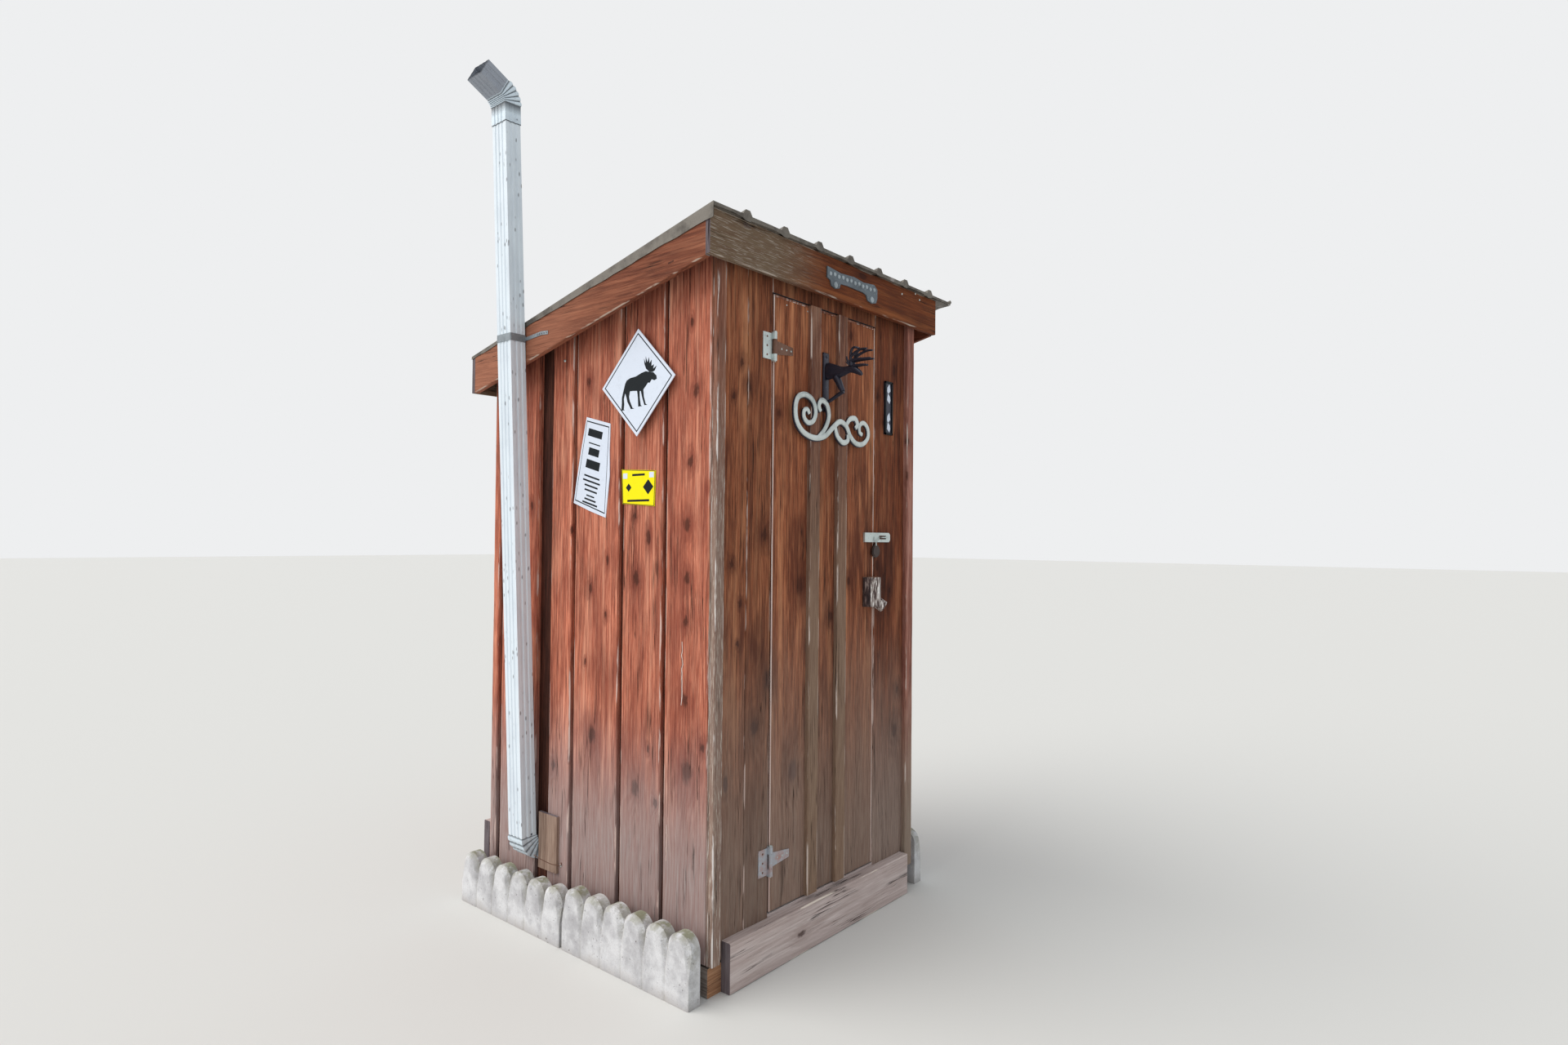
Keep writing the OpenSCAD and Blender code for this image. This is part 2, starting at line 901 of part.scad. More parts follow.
module hasp_staple() {
    middle_x = slot_x + slot_w / 2;
    color("silver")
        translate([middle_x, 0, hasp_z]) {
            for (side = [-1, 1])
                translate([side * staple_half_w, 0, 0])
                    rotate([90, 0, 0])
                        cylinder(r = staple_r, h = staple_reach - staple_half_w);
            translate([0, staple_half_w - staple_reach, 0])
                rotate([0, 0, 180])
                    rotate_extrude(angle = 180)
                        translate([staple_half_w, 0])
                            circle(r = staple_r);
        }
}

// Outline drawn as distance from the door and height on the hook's plate, half_t thick to either side
module hook_solid(half_t) {
    rotate([90, 0, -90])
        translate([0, 0, -half_t])
            linear_extrude(2 * half_t)
                children();
}

// The stag's antler on one side of its head, leaning outward from its root
module antler(side) {
    translate(antler_root)
        rotate([0, side * antler_spread, 0])
            translate([side * antler_aside, 0, 0] - antler_root)
                hook_solid(antler_half_t)
                    polygon(stag_antler);
}

module coat_hook() {
    color("dimgray")
        translate([hook_x, 0, hook_z]) {
            slab(-hook_w / 2, hook_w / 2, -hook_plate_t, 0, 0, hook_h);
            hook_solid(body_half_t)
                polygon(stag_body);
            hook_solid(leg_half_t)
                polygon(stag_leg);
            antler(-1);
            antler(1);
        }
}

in_frame() skids();
in_frame() floor_frame();
in_frame() floor_boards();
in_frame() corner_posts();
in_frame() left_jamb();
in_frame() right_jamb();
in_frame() wall_girts();
in_frame() top_plates();
in_frame() rafters();
in_frame() roof_deck();
in_frame() roof_sheet();
in_frame() front_fascia();
in_frame() back_fascia();
in_frame() left_fascia();
in_frame() right_fascia();
in_frame() left_wall();
in_frame() right_wall();
in_frame() back_wall();
in_frame() front_wall_left();
in_frame() front_wall_right();
in_frame() front_wall_over_door();
in_frame() door_sill();
in_frame() left_corner_trim();
in_frame() right_corner_trim();
in_frame() front_plank();
in_frame() back_plank();
in_frame() left_edging();
in_frame() right_edging();
in_frame() vent_pipe();
in_frame() top_elbow();
in_frame() bottom_elbow();
in_frame() pipe_strap();
in_frame() patch_board();
in_frame() upper_hinge_plate();
in_frame() lower_hinge_plate();
in_frame() hinge_pins();
in_frame() hasp_staple();
in_frame() door_boards();
in_frame() door_battens();
in_frame() door_ledges();
in_frame() upper_hinge_strap();
in_frame() lower_hinge_strap();
in_frame() handle_block();
in_frame() hasp();
in_frame() coat_hook();
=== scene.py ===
# Looks of the wooden outhouse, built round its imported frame.
# Places in this file are millimetres from the cabin's front left lower corner, as in the part's source:
# X along the front, Y from the front to the back, Z up. at() turns them into the frame's metres.
import math
import random

import bmesh
import bpy
from mathutils import Matrix, Vector
from mathutils.noise import noise


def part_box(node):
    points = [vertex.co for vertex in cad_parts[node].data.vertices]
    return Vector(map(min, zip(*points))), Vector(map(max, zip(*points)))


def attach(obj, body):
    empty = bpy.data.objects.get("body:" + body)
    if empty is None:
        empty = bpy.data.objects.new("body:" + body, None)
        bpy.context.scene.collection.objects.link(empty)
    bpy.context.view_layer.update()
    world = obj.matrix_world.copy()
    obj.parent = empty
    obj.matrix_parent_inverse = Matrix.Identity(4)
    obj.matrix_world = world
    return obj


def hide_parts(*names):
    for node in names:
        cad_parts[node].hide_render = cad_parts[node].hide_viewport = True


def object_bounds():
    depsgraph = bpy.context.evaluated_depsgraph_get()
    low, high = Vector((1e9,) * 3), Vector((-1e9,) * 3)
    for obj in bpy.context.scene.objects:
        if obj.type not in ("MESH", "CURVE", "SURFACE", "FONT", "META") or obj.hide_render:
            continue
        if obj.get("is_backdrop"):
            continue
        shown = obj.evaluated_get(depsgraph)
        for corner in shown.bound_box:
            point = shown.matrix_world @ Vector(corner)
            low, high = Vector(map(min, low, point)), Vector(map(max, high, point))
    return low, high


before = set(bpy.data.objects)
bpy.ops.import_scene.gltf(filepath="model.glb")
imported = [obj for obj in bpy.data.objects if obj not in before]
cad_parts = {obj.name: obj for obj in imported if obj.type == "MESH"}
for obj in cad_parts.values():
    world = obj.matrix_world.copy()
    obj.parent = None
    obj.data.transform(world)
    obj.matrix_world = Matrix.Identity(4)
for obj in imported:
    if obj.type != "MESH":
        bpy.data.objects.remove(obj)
cad_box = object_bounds()
random.seed(7)

# Places read from the frame

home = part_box("left_wall")[0]
HOME = Vector((home.x, home.y, 0))


def at(x, y, z):
    return HOME + Vector((x, y, z)) / 1000


def box_mm(node):
    low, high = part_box(node)
    return (low - HOME) * 1000, (high - HOME) * 1000


X, Y, Z = range(3)

BODY_W = box_mm("right_wall")[1].x
BODY_D = box_mm("left_wall")[1].y
WALL_Z = box_mm("left_wall")[0].z
EAVE_Z = box_mm("left_wall")[1].z
ROOF_ANGLE = math.radians(13)
SLOPE = math.tan(ROOF_ANGLE)
WALL_T = box_mm("left_wall")[1].x
BOARD_T = 19
SEAT = 0.3


def eave_z(y):
    """Height of the walls' upper edge under the sloping roof deck."""
    return EAVE_Z - y * SLOPE


# Colours and materials


def srgb(code):
    """Linear colour of a screen colour that is written in six hexadecimal digits."""
    def linear(c):
        c /= 255
        return c / 12.92 if c <= 0.04045 else ((c + 0.055) / 1.055) ** 2.4
    return tuple(linear(c) for c in bytes.fromhex(code)) + (1,)


class Nodes:
    """Short calls for the nodes of a tree."""

    def __init__(self, tree):
        self.tree = tree

    def node(self, kind, inputs=None, **settings):
        made = self.tree.nodes.new("ShaderNode" + kind)
        for key, value in settings.items():
            setattr(made, key, value)
        for key, value in (inputs or {}).items():
            self.put(made.inputs[key], value)
        return made

    def put(self, socket, value):
        """Links a socket, or sets it to a number, a vector or a screen colour."""
        if isinstance(value, bpy.types.NodeSocket):
            self.tree.links.new(value, socket)
        else:
            socket.default_value = srgb(value) if isinstance(value, str) else value

    def math(self, operation, a, b=0.0, c=0.0):
        return self.node("Math", {0: a, 1: b, 2: c}, operation=operation).outputs[0]


class Material(Nodes):
    """A node material with short calls for what its surface needs."""

    def __init__(self, name):
        self.material = bpy.data.materials.new(name)
        self.material.use_nodes = True
        super().__init__(self.material.node_tree)
        self.shader = self.tree.nodes["Principled BSDF"]

    def add(self, a, b):
        return self.math("ADD", a, b)

    def times(self, a, b):
        return self.math("MULTIPLY", a, b)

    def point(self, x, y, z):
        return self.node("CombineXYZ", {"X": x, "Y": y, "Z": z}).outputs[0]

    def scaled(self, vector, scale):
        return self.node("VectorMath", {0: vector, 1: scale}, operation="MULTIPLY").outputs[0]

    def noise(self, vector, scale, detail=4.0, rough=0.55):
        inputs = {"Vector": vector, "Scale": scale, "Detail": detail, "Roughness": rough}
        return self.node("TexNoise", inputs).outputs[0]

    def span(self, value, low, high, to_low=0.0, to_high=1.0):
        """Maps a value smoothly from one span to another and holds it there."""
        inputs = {0: value, 1: low, 2: high, 3: to_low, 4: to_high}
        return self.node("MapRange", inputs, interpolation_type="SMOOTHSTEP").outputs[0]

    def blend(self, share, a, b, kind="MIX"):
        return self.node("Mix", {0: share, 6: a, 7: b}, data_type="RGBA", blend_type=kind).outputs[2]

    def value(self, name):
        """A value that each point of the mesh carries."""
        return self.node("Attribute", attribute_name=name).outputs["Fac"]

    def place(self):
        return self.node("TexCoord").outputs["Object"]

    def split(self, vector):
        return self.node("SeparateXYZ", {0: vector}).outputs

    def finish(self, color, rough, height=None, depth=0.001, metallic=0.0):
        self.put(self.shader.inputs["Base Color"], color)
        self.put(self.shader.inputs["Roughness"], rough)
        self.shader.inputs["Metallic"].default_value = metallic
        if height is not None:
            inputs = {"Height": height, "Distance": depth, "Strength": 1.0}
            self.put(self.shader.inputs["Normal"], self.node("Bump", inputs).outputs[0])
        return self.material


KNOT_SQUEEZE = 0.6


def knots_at(places, across, along):
    """Marks for wood() from places in millimetres and the frame's coordinates of their zero."""
    return [(across + a / 1000, along + b / 1000, size / 1000) for a, b, size in places]


def wood(name, base, dark, light, grain="Z", knots=0.0, fade=None, patches=0.5, rough=0.85, worn=None,
         scratches=0.0, cracks=1.0, marks=()):
    """Sawn board with its grain along one axis, knots, weathered streaks and worn edges.
    fade is an axis, the two places in metres between which the stain is lost, and the colour left there.
    marks are knots at known places: where across the grain, where along it, and how large."""
    m = Material(name)
    x, y, z = m.split(m.place())[0:3]
    along, across, depth = {
        "Z": (z, m.add(x, y), m.math("SUBTRACT", x, y)),
        "X": (x, m.add(y, z), m.math("SUBTRACT", y, z)),
        "Y": (y, m.add(x, z), m.math("SUBTRACT", x, z)),
    }[grain]
    board = m.value("board")
    place = m.point(m.add(across, m.times(board, 29.0)), m.add(along, m.times(board, 13.0)), depth)

    def drawn_out(stretch):
        return m.scaled(place, (1.0, stretch, 1.0))

    # Knots lie in a stretched pattern of cells, and only some cells have one
    cells = m.node("TexVoronoi", {"Vector": m.scaled(place, (1.0, 0.42, 0.0)), "Scale": 9.0},
                   voronoi_dimensions="2D").outputs
    chance = m.node("SeparateColor", {0: cells["Color"]}).outputs
    reach = m.add(cells["Distance"], m.times(m.add(m.noise(place, 45.0, 3.0), -0.5), 0.09))
    kept = m.math("GREATER_THAN", chance[0], 1.0 - knots)
    spread = m.math("DIVIDE", reach, m.span(chance[1], 0.0, 1.0, 0.05, 0.12))
    core = m.times(m.span(spread, 0.55, 1.0, 1.0, 0.0), kept)
    halo = m.times(m.span(spread, 0.6, 2.9, 1.0, 0.0), kept)

    if marks:
        wobble = m.times(m.add(m.noise(drawn_out(0.5), 70.0, 4.0, 0.6), -0.5), 0.030)
        nearest = 9.0
        for side, rise, size in marks:
            here = m.point(across, m.times(along, KNOT_SQUEEZE), 0.0)
            inputs = {0: here, 1: (side, rise * KNOT_SQUEEZE, 0.0)}
            away = m.node("VectorMath", inputs, operation="DISTANCE").outputs["Value"]
            nearest = m.math("MINIMUM", m.math("DIVIDE", m.add(away, wobble), size), nearest)
        core = m.math("MAXIMUM", core, m.span(nearest, 0.35, 0.95, 1.0, 0.0))
        halo = m.math("MAXIMUM", halo, m.span(nearest, 0.6, 3.0, 1.0, 0.0))

    # The figure runs along the board and bulges round its knots
    bend = m.noise(drawn_out(0.16), 9.0, 2.0)
    phase = m.add(m.times(across, 330.0), m.add(m.times(bend, 55.0), m.times(halo, 9.0)))
    rings = m.math("MULTIPLY_ADD", m.math("SINE", phase), 0.5, 0.5)
    streak = m.noise(drawn_out(0.05), 105.0, 5.0, 0.68)
    fibre = m.noise(drawn_out(0.03), 430.0, 3.0, 0.7)
    band = m.noise(drawn_out(0.04), 26.0, 2.0)
    cloud = m.noise(drawn_out(0.3), 7.0, 4.0, 0.6)
    line = m.noise(drawn_out(0.022), 62.0, 3.0, 0.5)
    open_here = m.span(m.noise(drawn_out(0.3), 11.0, 2.0), 0.50, 0.62)
    crack = m.times(m.span(m.math("ABSOLUTE", m.add(line, -0.5)), 0.004, 0.014, 1.0, 0.0), open_here)
    crack = m.times(crack, cracks)

    color = m.blend(m.span(streak, 0.30, 0.66), dark, base)
    layers = (
        (m.span(streak, 0.55, 0.76), 0.80, light), (m.span(band, 0.50, 0.66), 0.45, dark),
        (m.span(band, 0.46, 0.32), 0.40, light), (rings, 0.28, dark),
        (m.span(fibre, 0.45, 0.70), 0.35, light), (m.span(cloud, 0.50, 0.70), patches, dark),
        (m.span(cloud, 0.46, 0.28), patches * 0.6, light), (halo, 0.62, dark), (core, 0.74, "3a1c14"),
    )
    for share, most, tint in layers:
        color = m.blend(m.times(share, most), color, tint)
    if fade is not None:
        axis, full, none, left_colour = fade
        spot = m.add({"X": x, "Y": y, "Z": z}[axis], m.times(m.add(cloud, -0.5), 0.45 * abs(none - full)))
        share = m.times(m.span(spot, full, none, 1.0, 0.0), m.span(streak, 0.25, 0.62, 0.78, 1.0))
        worn_grain = m.blend(m.span(fibre, 0.35, 0.65), m.blend(0.35, left_colour, dark), left_colour)
        worn_grain = m.blend(m.times(rings, 0.18), worn_grain, dark)
        worn_grain = m.blend(m.times(core, 0.5), worn_grain, "605454")
        color = m.blend(share, color, worn_grain)
        if scratches:
            scratch = m.span(m.noise(drawn_out(0.06), 330.0, 2.0, 0.6), 0.56, 0.64)
            color = m.blend(m.times(scratch, m.times(share, scratches)), color, "cec4b8")
    color = m.blend(m.times(crack, 0.85), color, "261814")
    tone = m.math("MULTIPLY_ADD", board, 0.46, 0.77)
    color = m.blend(1.0, color, m.point(tone, tone, tone), "MULTIPLY")
    if worn is not None:
        bare = m.times(m.value("rim"), m.span(m.noise(drawn_out(0.12), 52.0, 4.0), 0.50, 0.60))
        color = m.blend(m.times(bare, 0.85), color, worn)
    height = m.add(m.times(streak, 0.7), m.add(m.times(fibre, 0.35), m.times(rings, 0.12)))
    height = m.math("SUBTRACT", height, m.add(m.times(crack, 1.3), m.times(core, 0.5)))
    m.shader.inputs["Specular IOR Level"].default_value = 0.2
    return m.finish(color, rough, height, 0.0016)


def metal(name, base, stain, spots=None, rough=0.45, metallic=0.6, stain_share=0.5, spot_scale=150.0,
          stretch=1.0, spotted=0.20, bump=0.0006, crease_shade=None):
    """Metal with cloudy stains and small spots, which are drawn out along Z where stretch is less than 1.
    crease is the colour of painted shade, laid where the mesh says that the sheet is folded."""
    m = Material(name)
    place = m.scaled(m.place(), (1.0, 1.0, stretch))
    cloud = m.noise(place, 16.0, 5.0, 0.65)
    fine = m.noise(place, 210.0, 4.0, 0.6)
    color = m.blend(m.times(m.span(cloud, 0.42, 0.70), stain_share), base, stain)
    color = m.blend(m.times(m.span(fine, 0.52, 0.75), 0.30), color, stain)
    if spots is not None:
        cells = m.node("TexVoronoi", {"Vector": place, "Scale": spot_scale}).outputs
        chance = m.node("SeparateColor", {0: cells["Color"]}).outputs[0]
        chosen = m.span(chance, 0.98 - spotted, 1.08 - spotted)
        spot = m.times(m.span(cells["Distance"], 0.12, 0.30, 1.0, 0.0), chosen)
        color = m.blend(m.times(spot, 0.75), color, spots)
    # Painted shade in folds and along edges, where the mesh's rim value says so
    if crease_shade is not None:
        color = m.blend(m.times(m.value("rim"), 0.9), color, crease_shade)
    roughness = m.math("MULTIPLY_ADD", cloud, 0.25, rough - 0.12)
    return m.finish(color, roughness, m.times(fine, 0.4), bump, metallic)


def bark(name, furrow, ridge, pale):
    """Bark and weathered wood of a split log, in narrow upright ridges with dark furrows between them."""
    m = Material(name)
    place = m.scaled(m.place(), (1.0, 1.0, 0.14))
    ridges = m.noise(place, 150.0, 4.0, 0.62)
    color = m.blend(m.span(ridges, 0.43, 0.53), furrow, ridge)
    color = m.blend(m.span(ridges, 0.54, 0.62), color, pale)
    cloud = m.noise(m.place(), 34.0, 3.0)
    color = m.blend(m.times(m.span(cloud, 0.5, 0.7), 0.5), color, furrow)
    return m.finish(color, 0.9, ridges, 0.003)


def concrete(name):
    """Pale cast concrete with pits, damp stains and moss on its upper faces."""
    m = Material(name)
    place = m.place()
    z = m.split(place)[2]
    cloud = m.noise(place, 12.0, 6.0, 0.65)
    grit = m.noise(place, 240.0, 5.0, 0.7)
    pit = m.span(m.noise(place, 95.0, 2.0), 0.32, 0.22)
    color = m.blend(m.span(cloud, 0.35, 0.70), "dedee0", "b0afb2")
    color = m.blend(m.times(m.span(grit, 0.50, 0.78), 0.5), color, "968c8e")
    color = m.blend(m.times(pit, 0.7), color, "6c6260")
    color = m.blend(m.span(m.add(z, m.times(cloud, 0.12)), 0.10, 0.03, 0.0, 0.55), color, "78685c")
    up = m.split(m.node("NewGeometry").outputs["Normal"])[2]
    moss = m.times(m.span(up, 0.35, 0.95), m.span(m.noise(place, 20.0, 5.0, 0.7), 0.42, 0.58))
    color = m.blend(m.times(moss, 0.75), color, "74764a")
    edge = m.times(m.value("rim"), m.span(m.noise(place, 30.0, 4.0, 0.7), 0.36, 0.56))
    color = m.blend(m.times(edge, 0.6), color, "7e7a64")
    height = m.add(m.times(grit, 0.6), m.math("SUBTRACT", m.times(cloud, 0.5), pit))
    return m.finish(color, 0.93, height, 0.002)


def paint(name, color, spots, rough=0.5):
    """Flat printed or painted surface with faint grime."""
    m = Material(name)
    place = m.place()
    dirt_and_shade = m.noise(place, 38.0, 5.0, 0.7)
    mixed = m.blend(m.times(m.span(dirt_and_shade, 0.52, 0.80), 0.45), color, spots)
    m.shader.inputs["Specular IOR Level"].default_value = 0.12
    return m.finish(mixed, rough, m.noise(place, 300.0, 3.0), 0.0002)


# Knots seen on the left wall as Y, Z and size, and on the front and the foot's plank as X, Z and size
LEFT_KNOTS = [
    (75, 1848, 17), (94, 1627, 14), (604, 1933, 15), (108, 1434, 19), (354, 1460, 12), (344, 1255, 19),
    (582, 1212, 12), (106, 1264, 17), (109, 1129, 15), (111, 884, 20), (100, 663, 32), (31, 747, 12),
    (565, 710, 26), (338, 570, 24), (498, 1125, 9), (781, 569, 15), (242, 538, 11)
]
FRONT_KNOTS = [
    (129, 1951, 12), (164, 1879, 18), (93, 1837, 9), (311, 1807, 16), (724, 2142, 14), (904, 1944, 10),
    (950, 1841, 11), (89, 1312, 12), (132, 1187, 10), (119, 1057, 7), (245, 1405, 20), (204, 785, 26),
    (271, 931, 30), (434, 1233, 30), (527, 1248, 11), (611, 1118, 16), (719, 1242, 13), (994, 1194, 10),
    (925, 948, 7), (1054, 800, 14), (401, 608, 32), (1037, 642, 22)
]
PLANK_KNOTS = [(69, 408, 15)]
LEFT_MARKS = knots_at(LEFT_KNOTS, HOME.x + HOME.y, 0)
FRONT_MARKS = knots_at(FRONT_KNOTS, HOME.x + HOME.y, 0)
PLANK_MARKS = knots_at(PLANK_KNOTS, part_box("front_plank")[0].y, HOME.x)

RED = wood("red_wall_stain", "c9755a", "72362a", "eeac8e", knots=0.12, fade=("Z", 0.34, 0.90, "a09390"),
           worn="e8cec4", marks=LEFT_MARKS)
BROWN = wood("brown_front_stain", "a25e3e", "50281c", "cc8e66", knots=0.08, patches=0.8,
             fade=("Z", 0.22, 1.32, "8c7a6e"), worn="d6beb4", marks=FRONT_MARKS)
DARK_BROWN = wood("dark_front_stain", "944e31", "462218", "be7c56", knots=0.08, patches=0.8,
                  fade=("Z", 0.22, 1.15, "ac988c"), worn="d6beb4", marks=FRONT_MARKS)
BATTEN = wood("batten_stain", "8c5c46", "54322a", "ba9680", fade=("Z", 0.95, 2.0, "967e6a"), worn="decec4")
RAKE = wood("rake_stain", "8c513a", "5c3023", "ae7458", grain="Y", knots=0.2,
            fade=("Y", 0.45, -0.25, "b2765c"), worn="c4b0a0")
FASCIA = wood("fascia_stain", "864523", "542918", "a8663a", grain="X", knots=0.2,
              fade=("X", -0.34, -0.02, "84735e"), worn="beb2a6", scratches=0.5)
# Dark stain that is partly painted shade: the backing in the open joints, and dark pieces that stand for
# shade elsewhere
GROOVE_STAIN_AND_SHADE = wood("groove_stain_and_shade", "563228", "2c1814", "764a3a")
RAW = wood("raw_softwood", "c4a074", "966c46", "dec096", knots=0.3)
RAW_X = wood("raw_softwood_x", "be9a70", "926a46", "dabc94", grain="X", knots=0.3)
RAW_Y = wood("raw_softwood_y", "be9a70", "926a46", "dabc94", grain="Y", knots=0.3)
GREY_X = wood("grey_plank_x", "deccc8", "baa6a0", "eee2de", grain="X", rough=0.9, patches=0.25,
              worn="f0e4d6", marks=PLANK_MARKS)
GREY_Y = wood("grey_plank_y", "9c928a", "6a5e56", "beb4ac", grain="Y", knots=0.3)
GREY_Z = wood("grey_patch", "a88e7e", "785e50", "c8b0a0", knots=0.3, patches=0.3)
TRIM = wood("trim_paint", "8e5a44", "5e362a", "b68e7a", knots=0.1, fade=("Z", 1.2, 2.15, "948074"),
            worn="f0eae6", scratches=0.7)
RIGHT_TRIM = wood("right_trim_paint", "a26a5a", "6a4036", "cc9e90", knots=0.15,
                  fade=("Z", 0.2, 0.9, "8e8476"), worn="d4c6bc")
END = wood("end_grain", "80767a", "5c5054", "a89ea2", cracks=1.5)
FRESH_END = wood("fresh_end_grain", "b28462", "805840", "cea482", grain="X")
LOG = bark("log_bark", "4a3836", "b8aca6", "fcfaf6")
# The log's bark painted darker as shade, for the shaded left side of the log
SHADED_LOG = bark("log_bark_painted_shade", "281a1c", "4e3c3a", "968680")
PULL = metal("pull_brown", "2e1a12", "1a0f0c", rough=0.5, metallic=0.0)
LOG_END = wood("log_end", "b08c74", "604032", "dec4b0", grain="X")
DARK_END = wood("branch_end_grain", "684e46", "362624", "96786c", grain="X")
WORN_PAINT = wood("worn_paint_edge", "eedcd4", "c4a094", "faf2ee", patches=0.2, cracks=0.3)
ROOF = metal("roof_sheet_metal", "706a62", "403a34", "9c9694", rough=0.6, metallic=0.2, stain_share=0.8,
             spot_scale=14.0)
PIPE = metal("pipe_enamel", "e2ecf4", "ccd6e0", "606064", rough=0.38, metallic=0.0, spot_scale=80.0,
             stretch=0.35, spotted=0.34, bump=0.0002)
# Both take a near black colour that is painted shade in the pleats' folds and along the collar's and the
# mouth's edges
ELBOW = metal("elbow_enamel", "dae8f2", "c8d5e1", "6e6e74", rough=0.36, metallic=0.1, bump=0.0001,
              crease_shade="282a32")
# The spout's metal is the elbow's enamel painted darker, as painted shade
SHADED_SPOUT = metal("spout_painted_shade", "989ea8", "868c97", "54545a", rough=0.4, metallic=0.3, bump=0.0002,
              crease_shade="282a32")
STRAP = metal("strap_metal", "8c949a", "42484e", "c4ccd0", rough=0.45, metallic=0.4)
STEEL = metal("galvanised", "ccd6d4", "9ca6a6", "6e6054", rough=0.42, metallic=0.5)
RUST = metal("rusty_strap", "7a5848", "4a3228", "a08c80", rough=0.7, metallic=0.2)
DULL = metal("stained_steel", "acb2ba", "b07a68", "785446", rough=0.55, metallic=0.3, stain_share=0.8)
IRON = metal("dark_iron_paint", "30303e", "16161e", "686a82", rough=0.38, metallic=0.35)
CAST = metal("cast_plaque", "606a72", "363c42", "9ea8ae", rough=0.5, metallic=0.35)
SILVER = metal("silver_scroll", "ced6d4", "848e8e", rough=0.32, metallic=0.45)
# Lighter metal for the plaque's raised beads: painted highlight
RELIEF_HIGHLIGHT = metal("relief_painted_highlight", "a0aab0", "646c72", rough=0.5, metallic=0.3)
CONCRETE = concrete("edging_concrete")
WHITE = paint("sign_white", "dae2f0", "bac0cc")
PALE_GREEN = paint("plaque_line", "a8b698", "78846c")
BLACK = paint("sign_black", "161c20", "282c30")
YELLOW = paint("sign_yellow", "f8ea0c", "d6c21e")


# Meshes


class Shape:
    """Points and faces of one piece, with the board and rim values that its material reads."""

    def __init__(self):
        self.points = []
        self.faces = []
        self.slots = []
        self.board = []
        self.rim = []

    def add(self, points, faces, slot=0, board=0.5, rims=None):
        first = len(self.points)
        self.points += points
        self.board += [board] * len(points)
        self.rim += rims if rims else [0.0] * len(points)
        self.join(first, faces, slot)

    def join(self, first, faces, slot=0):
        """Adds faces between points that are there, counted from the first of them."""
        for face in faces:
            self.faces.append([first + i for i in face])
            self.slots.append(slot)

    def make(self, name, body, materials, replaces=(), sharp=35):
        """Makes the object, which rides on a body and may stand for nodes of the frame."""
        mesh = bpy.data.meshes.new(name)
        mesh.from_pydata(self.points, [], self.faces)
        for material in materials:
            mesh.materials.append(material)
        mesh.polygons.foreach_set("material_index", self.slots)
        for key, values in (("board", self.board), ("rim", self.rim)):
            mesh.attributes.new(key, "FLOAT", "POINT").data.foreach_set("value", values)
        work = bmesh.new()
        work.from_mesh(mesh)
        bmesh.ops.recalc_face_normals(work, faces=work.faces)
        work.to_mesh(mesh)
        work.free()
        mesh.shade_smooth()
        mesh.set_sharp_from_angle(angle=math.radians(sharp))
        piece = bpy.data.objects.new(name, mesh)
        bpy.context.scene.collection.objects.link(piece)
        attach(piece, body)
        if replaces:
            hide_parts(*replaces)


def lerp(a, b, t):
    return a + (b - a) * t


def grid(rows, columns, wrap=False):
    """Faces between rows of points. Each row is a ring where wrap is true."""
    faces = []
    for k in range(rows - 1):
        for i in range(columns if wrap else columns - 1):
            a, b = k * columns + i, k * columns + (i + 1) % columns
            faces.append((a, b, b + columns, a + columns))
    return faces


def caps(rows, columns):
    """The first and the last row of points as faces."""
    return [list(range(columns)), list(range((rows - 1) * columns, rows * columns))]


def circle(sides):
    """Cosine and sine of equal steps round a circle."""
    return [(math.cos(2 * math.pi * i / sides), math.sin(2 * math.pi * i / sides)) for i in range(sides)]


def plank(shape, place, width, thick, low, high, chamfer=1.6, wave=0.7, step=85, tone=None):
    """Adds a sawn board: place(u, v, w) is a point u across it, v in from its outer face and w along it.
    low and high say where it ends, by one number for a square end or by one for each of its two edges."""
    low, high = (end if isinstance(end, tuple) else (end, end) for end in (low, high))
    tone = random.random() if tone is None else tone
    seed = random.uniform(0, 90)
    c = min(chamfer, thick * 0.3, width * 0.2)
    bare = min(3.0, width * 0.1)
    inner = min(c + bare, thick)
    section = [(0, inner, 0), (0, c, 1), (c, 0, 1), (c + bare, 0, 0), (0.3 * width, 0, 0),
               (0.5 * width, 0, 0), (0.7 * width, 0, 0), (width - c - bare, 0, 0), (width - c, 0, 1),
               (width, c, 1), (width, inner, 0), (width, thick, 0), (0, thick, 0)]
    length = max(high) - min(low)
    rings = max(2, round(length / step)) + 1
    points = []
    rims = []
    for k in range(rings):
        for u, v, rim in section:
            share = u / width
            w = lerp(lerp(low[0], low[1], share), lerp(high[0], high[1], share), k / (rings - 1))
            sway = abs(wave * noise(Vector((seed, w / 170, 0.3))))
            dish = abs(wave * noise(Vector((seed + u / 60, w / 210, 2.7)))) if v < thick else 0
            inward = sway if u < width / 2 else -sway
            points.append(place(u + (inward if 0 < k < rings - 1 else 0), min(v + dish, thick), w))
            rims.append(rim)
    size = len(section)
    shape.add(points, grid(rings, size, True), 0, tone, rims)
    for k in (0, rings - 1):
        ring = points[k * size:(k + 1) * size]
        shape.add(ring, [list(range(size))], 1, tone)


def sweep(shape, path, section, normal, scale=None, slot=0, board=0.5):
    """Adds a bar along a path. Its section is drawn across the path first and along normal second."""
    count = len(path)
    points = []
    for k, p in enumerate(path):
        before = path[max(k - 1, 0)]
        after = path[min(k + 1, count - 1)]
        tangent = (after - before).normalized()
        side = normal.cross(tangent).normalized()
        size = scale(k / (count - 1)) if scale else 1.0
        points += [p + side * (a * size / 1000) + normal * (b * size / 1000) for a, b in section]
    n = len(section)
    shape.add(points, grid(count, n, True) + caps(count, n), slot, board)


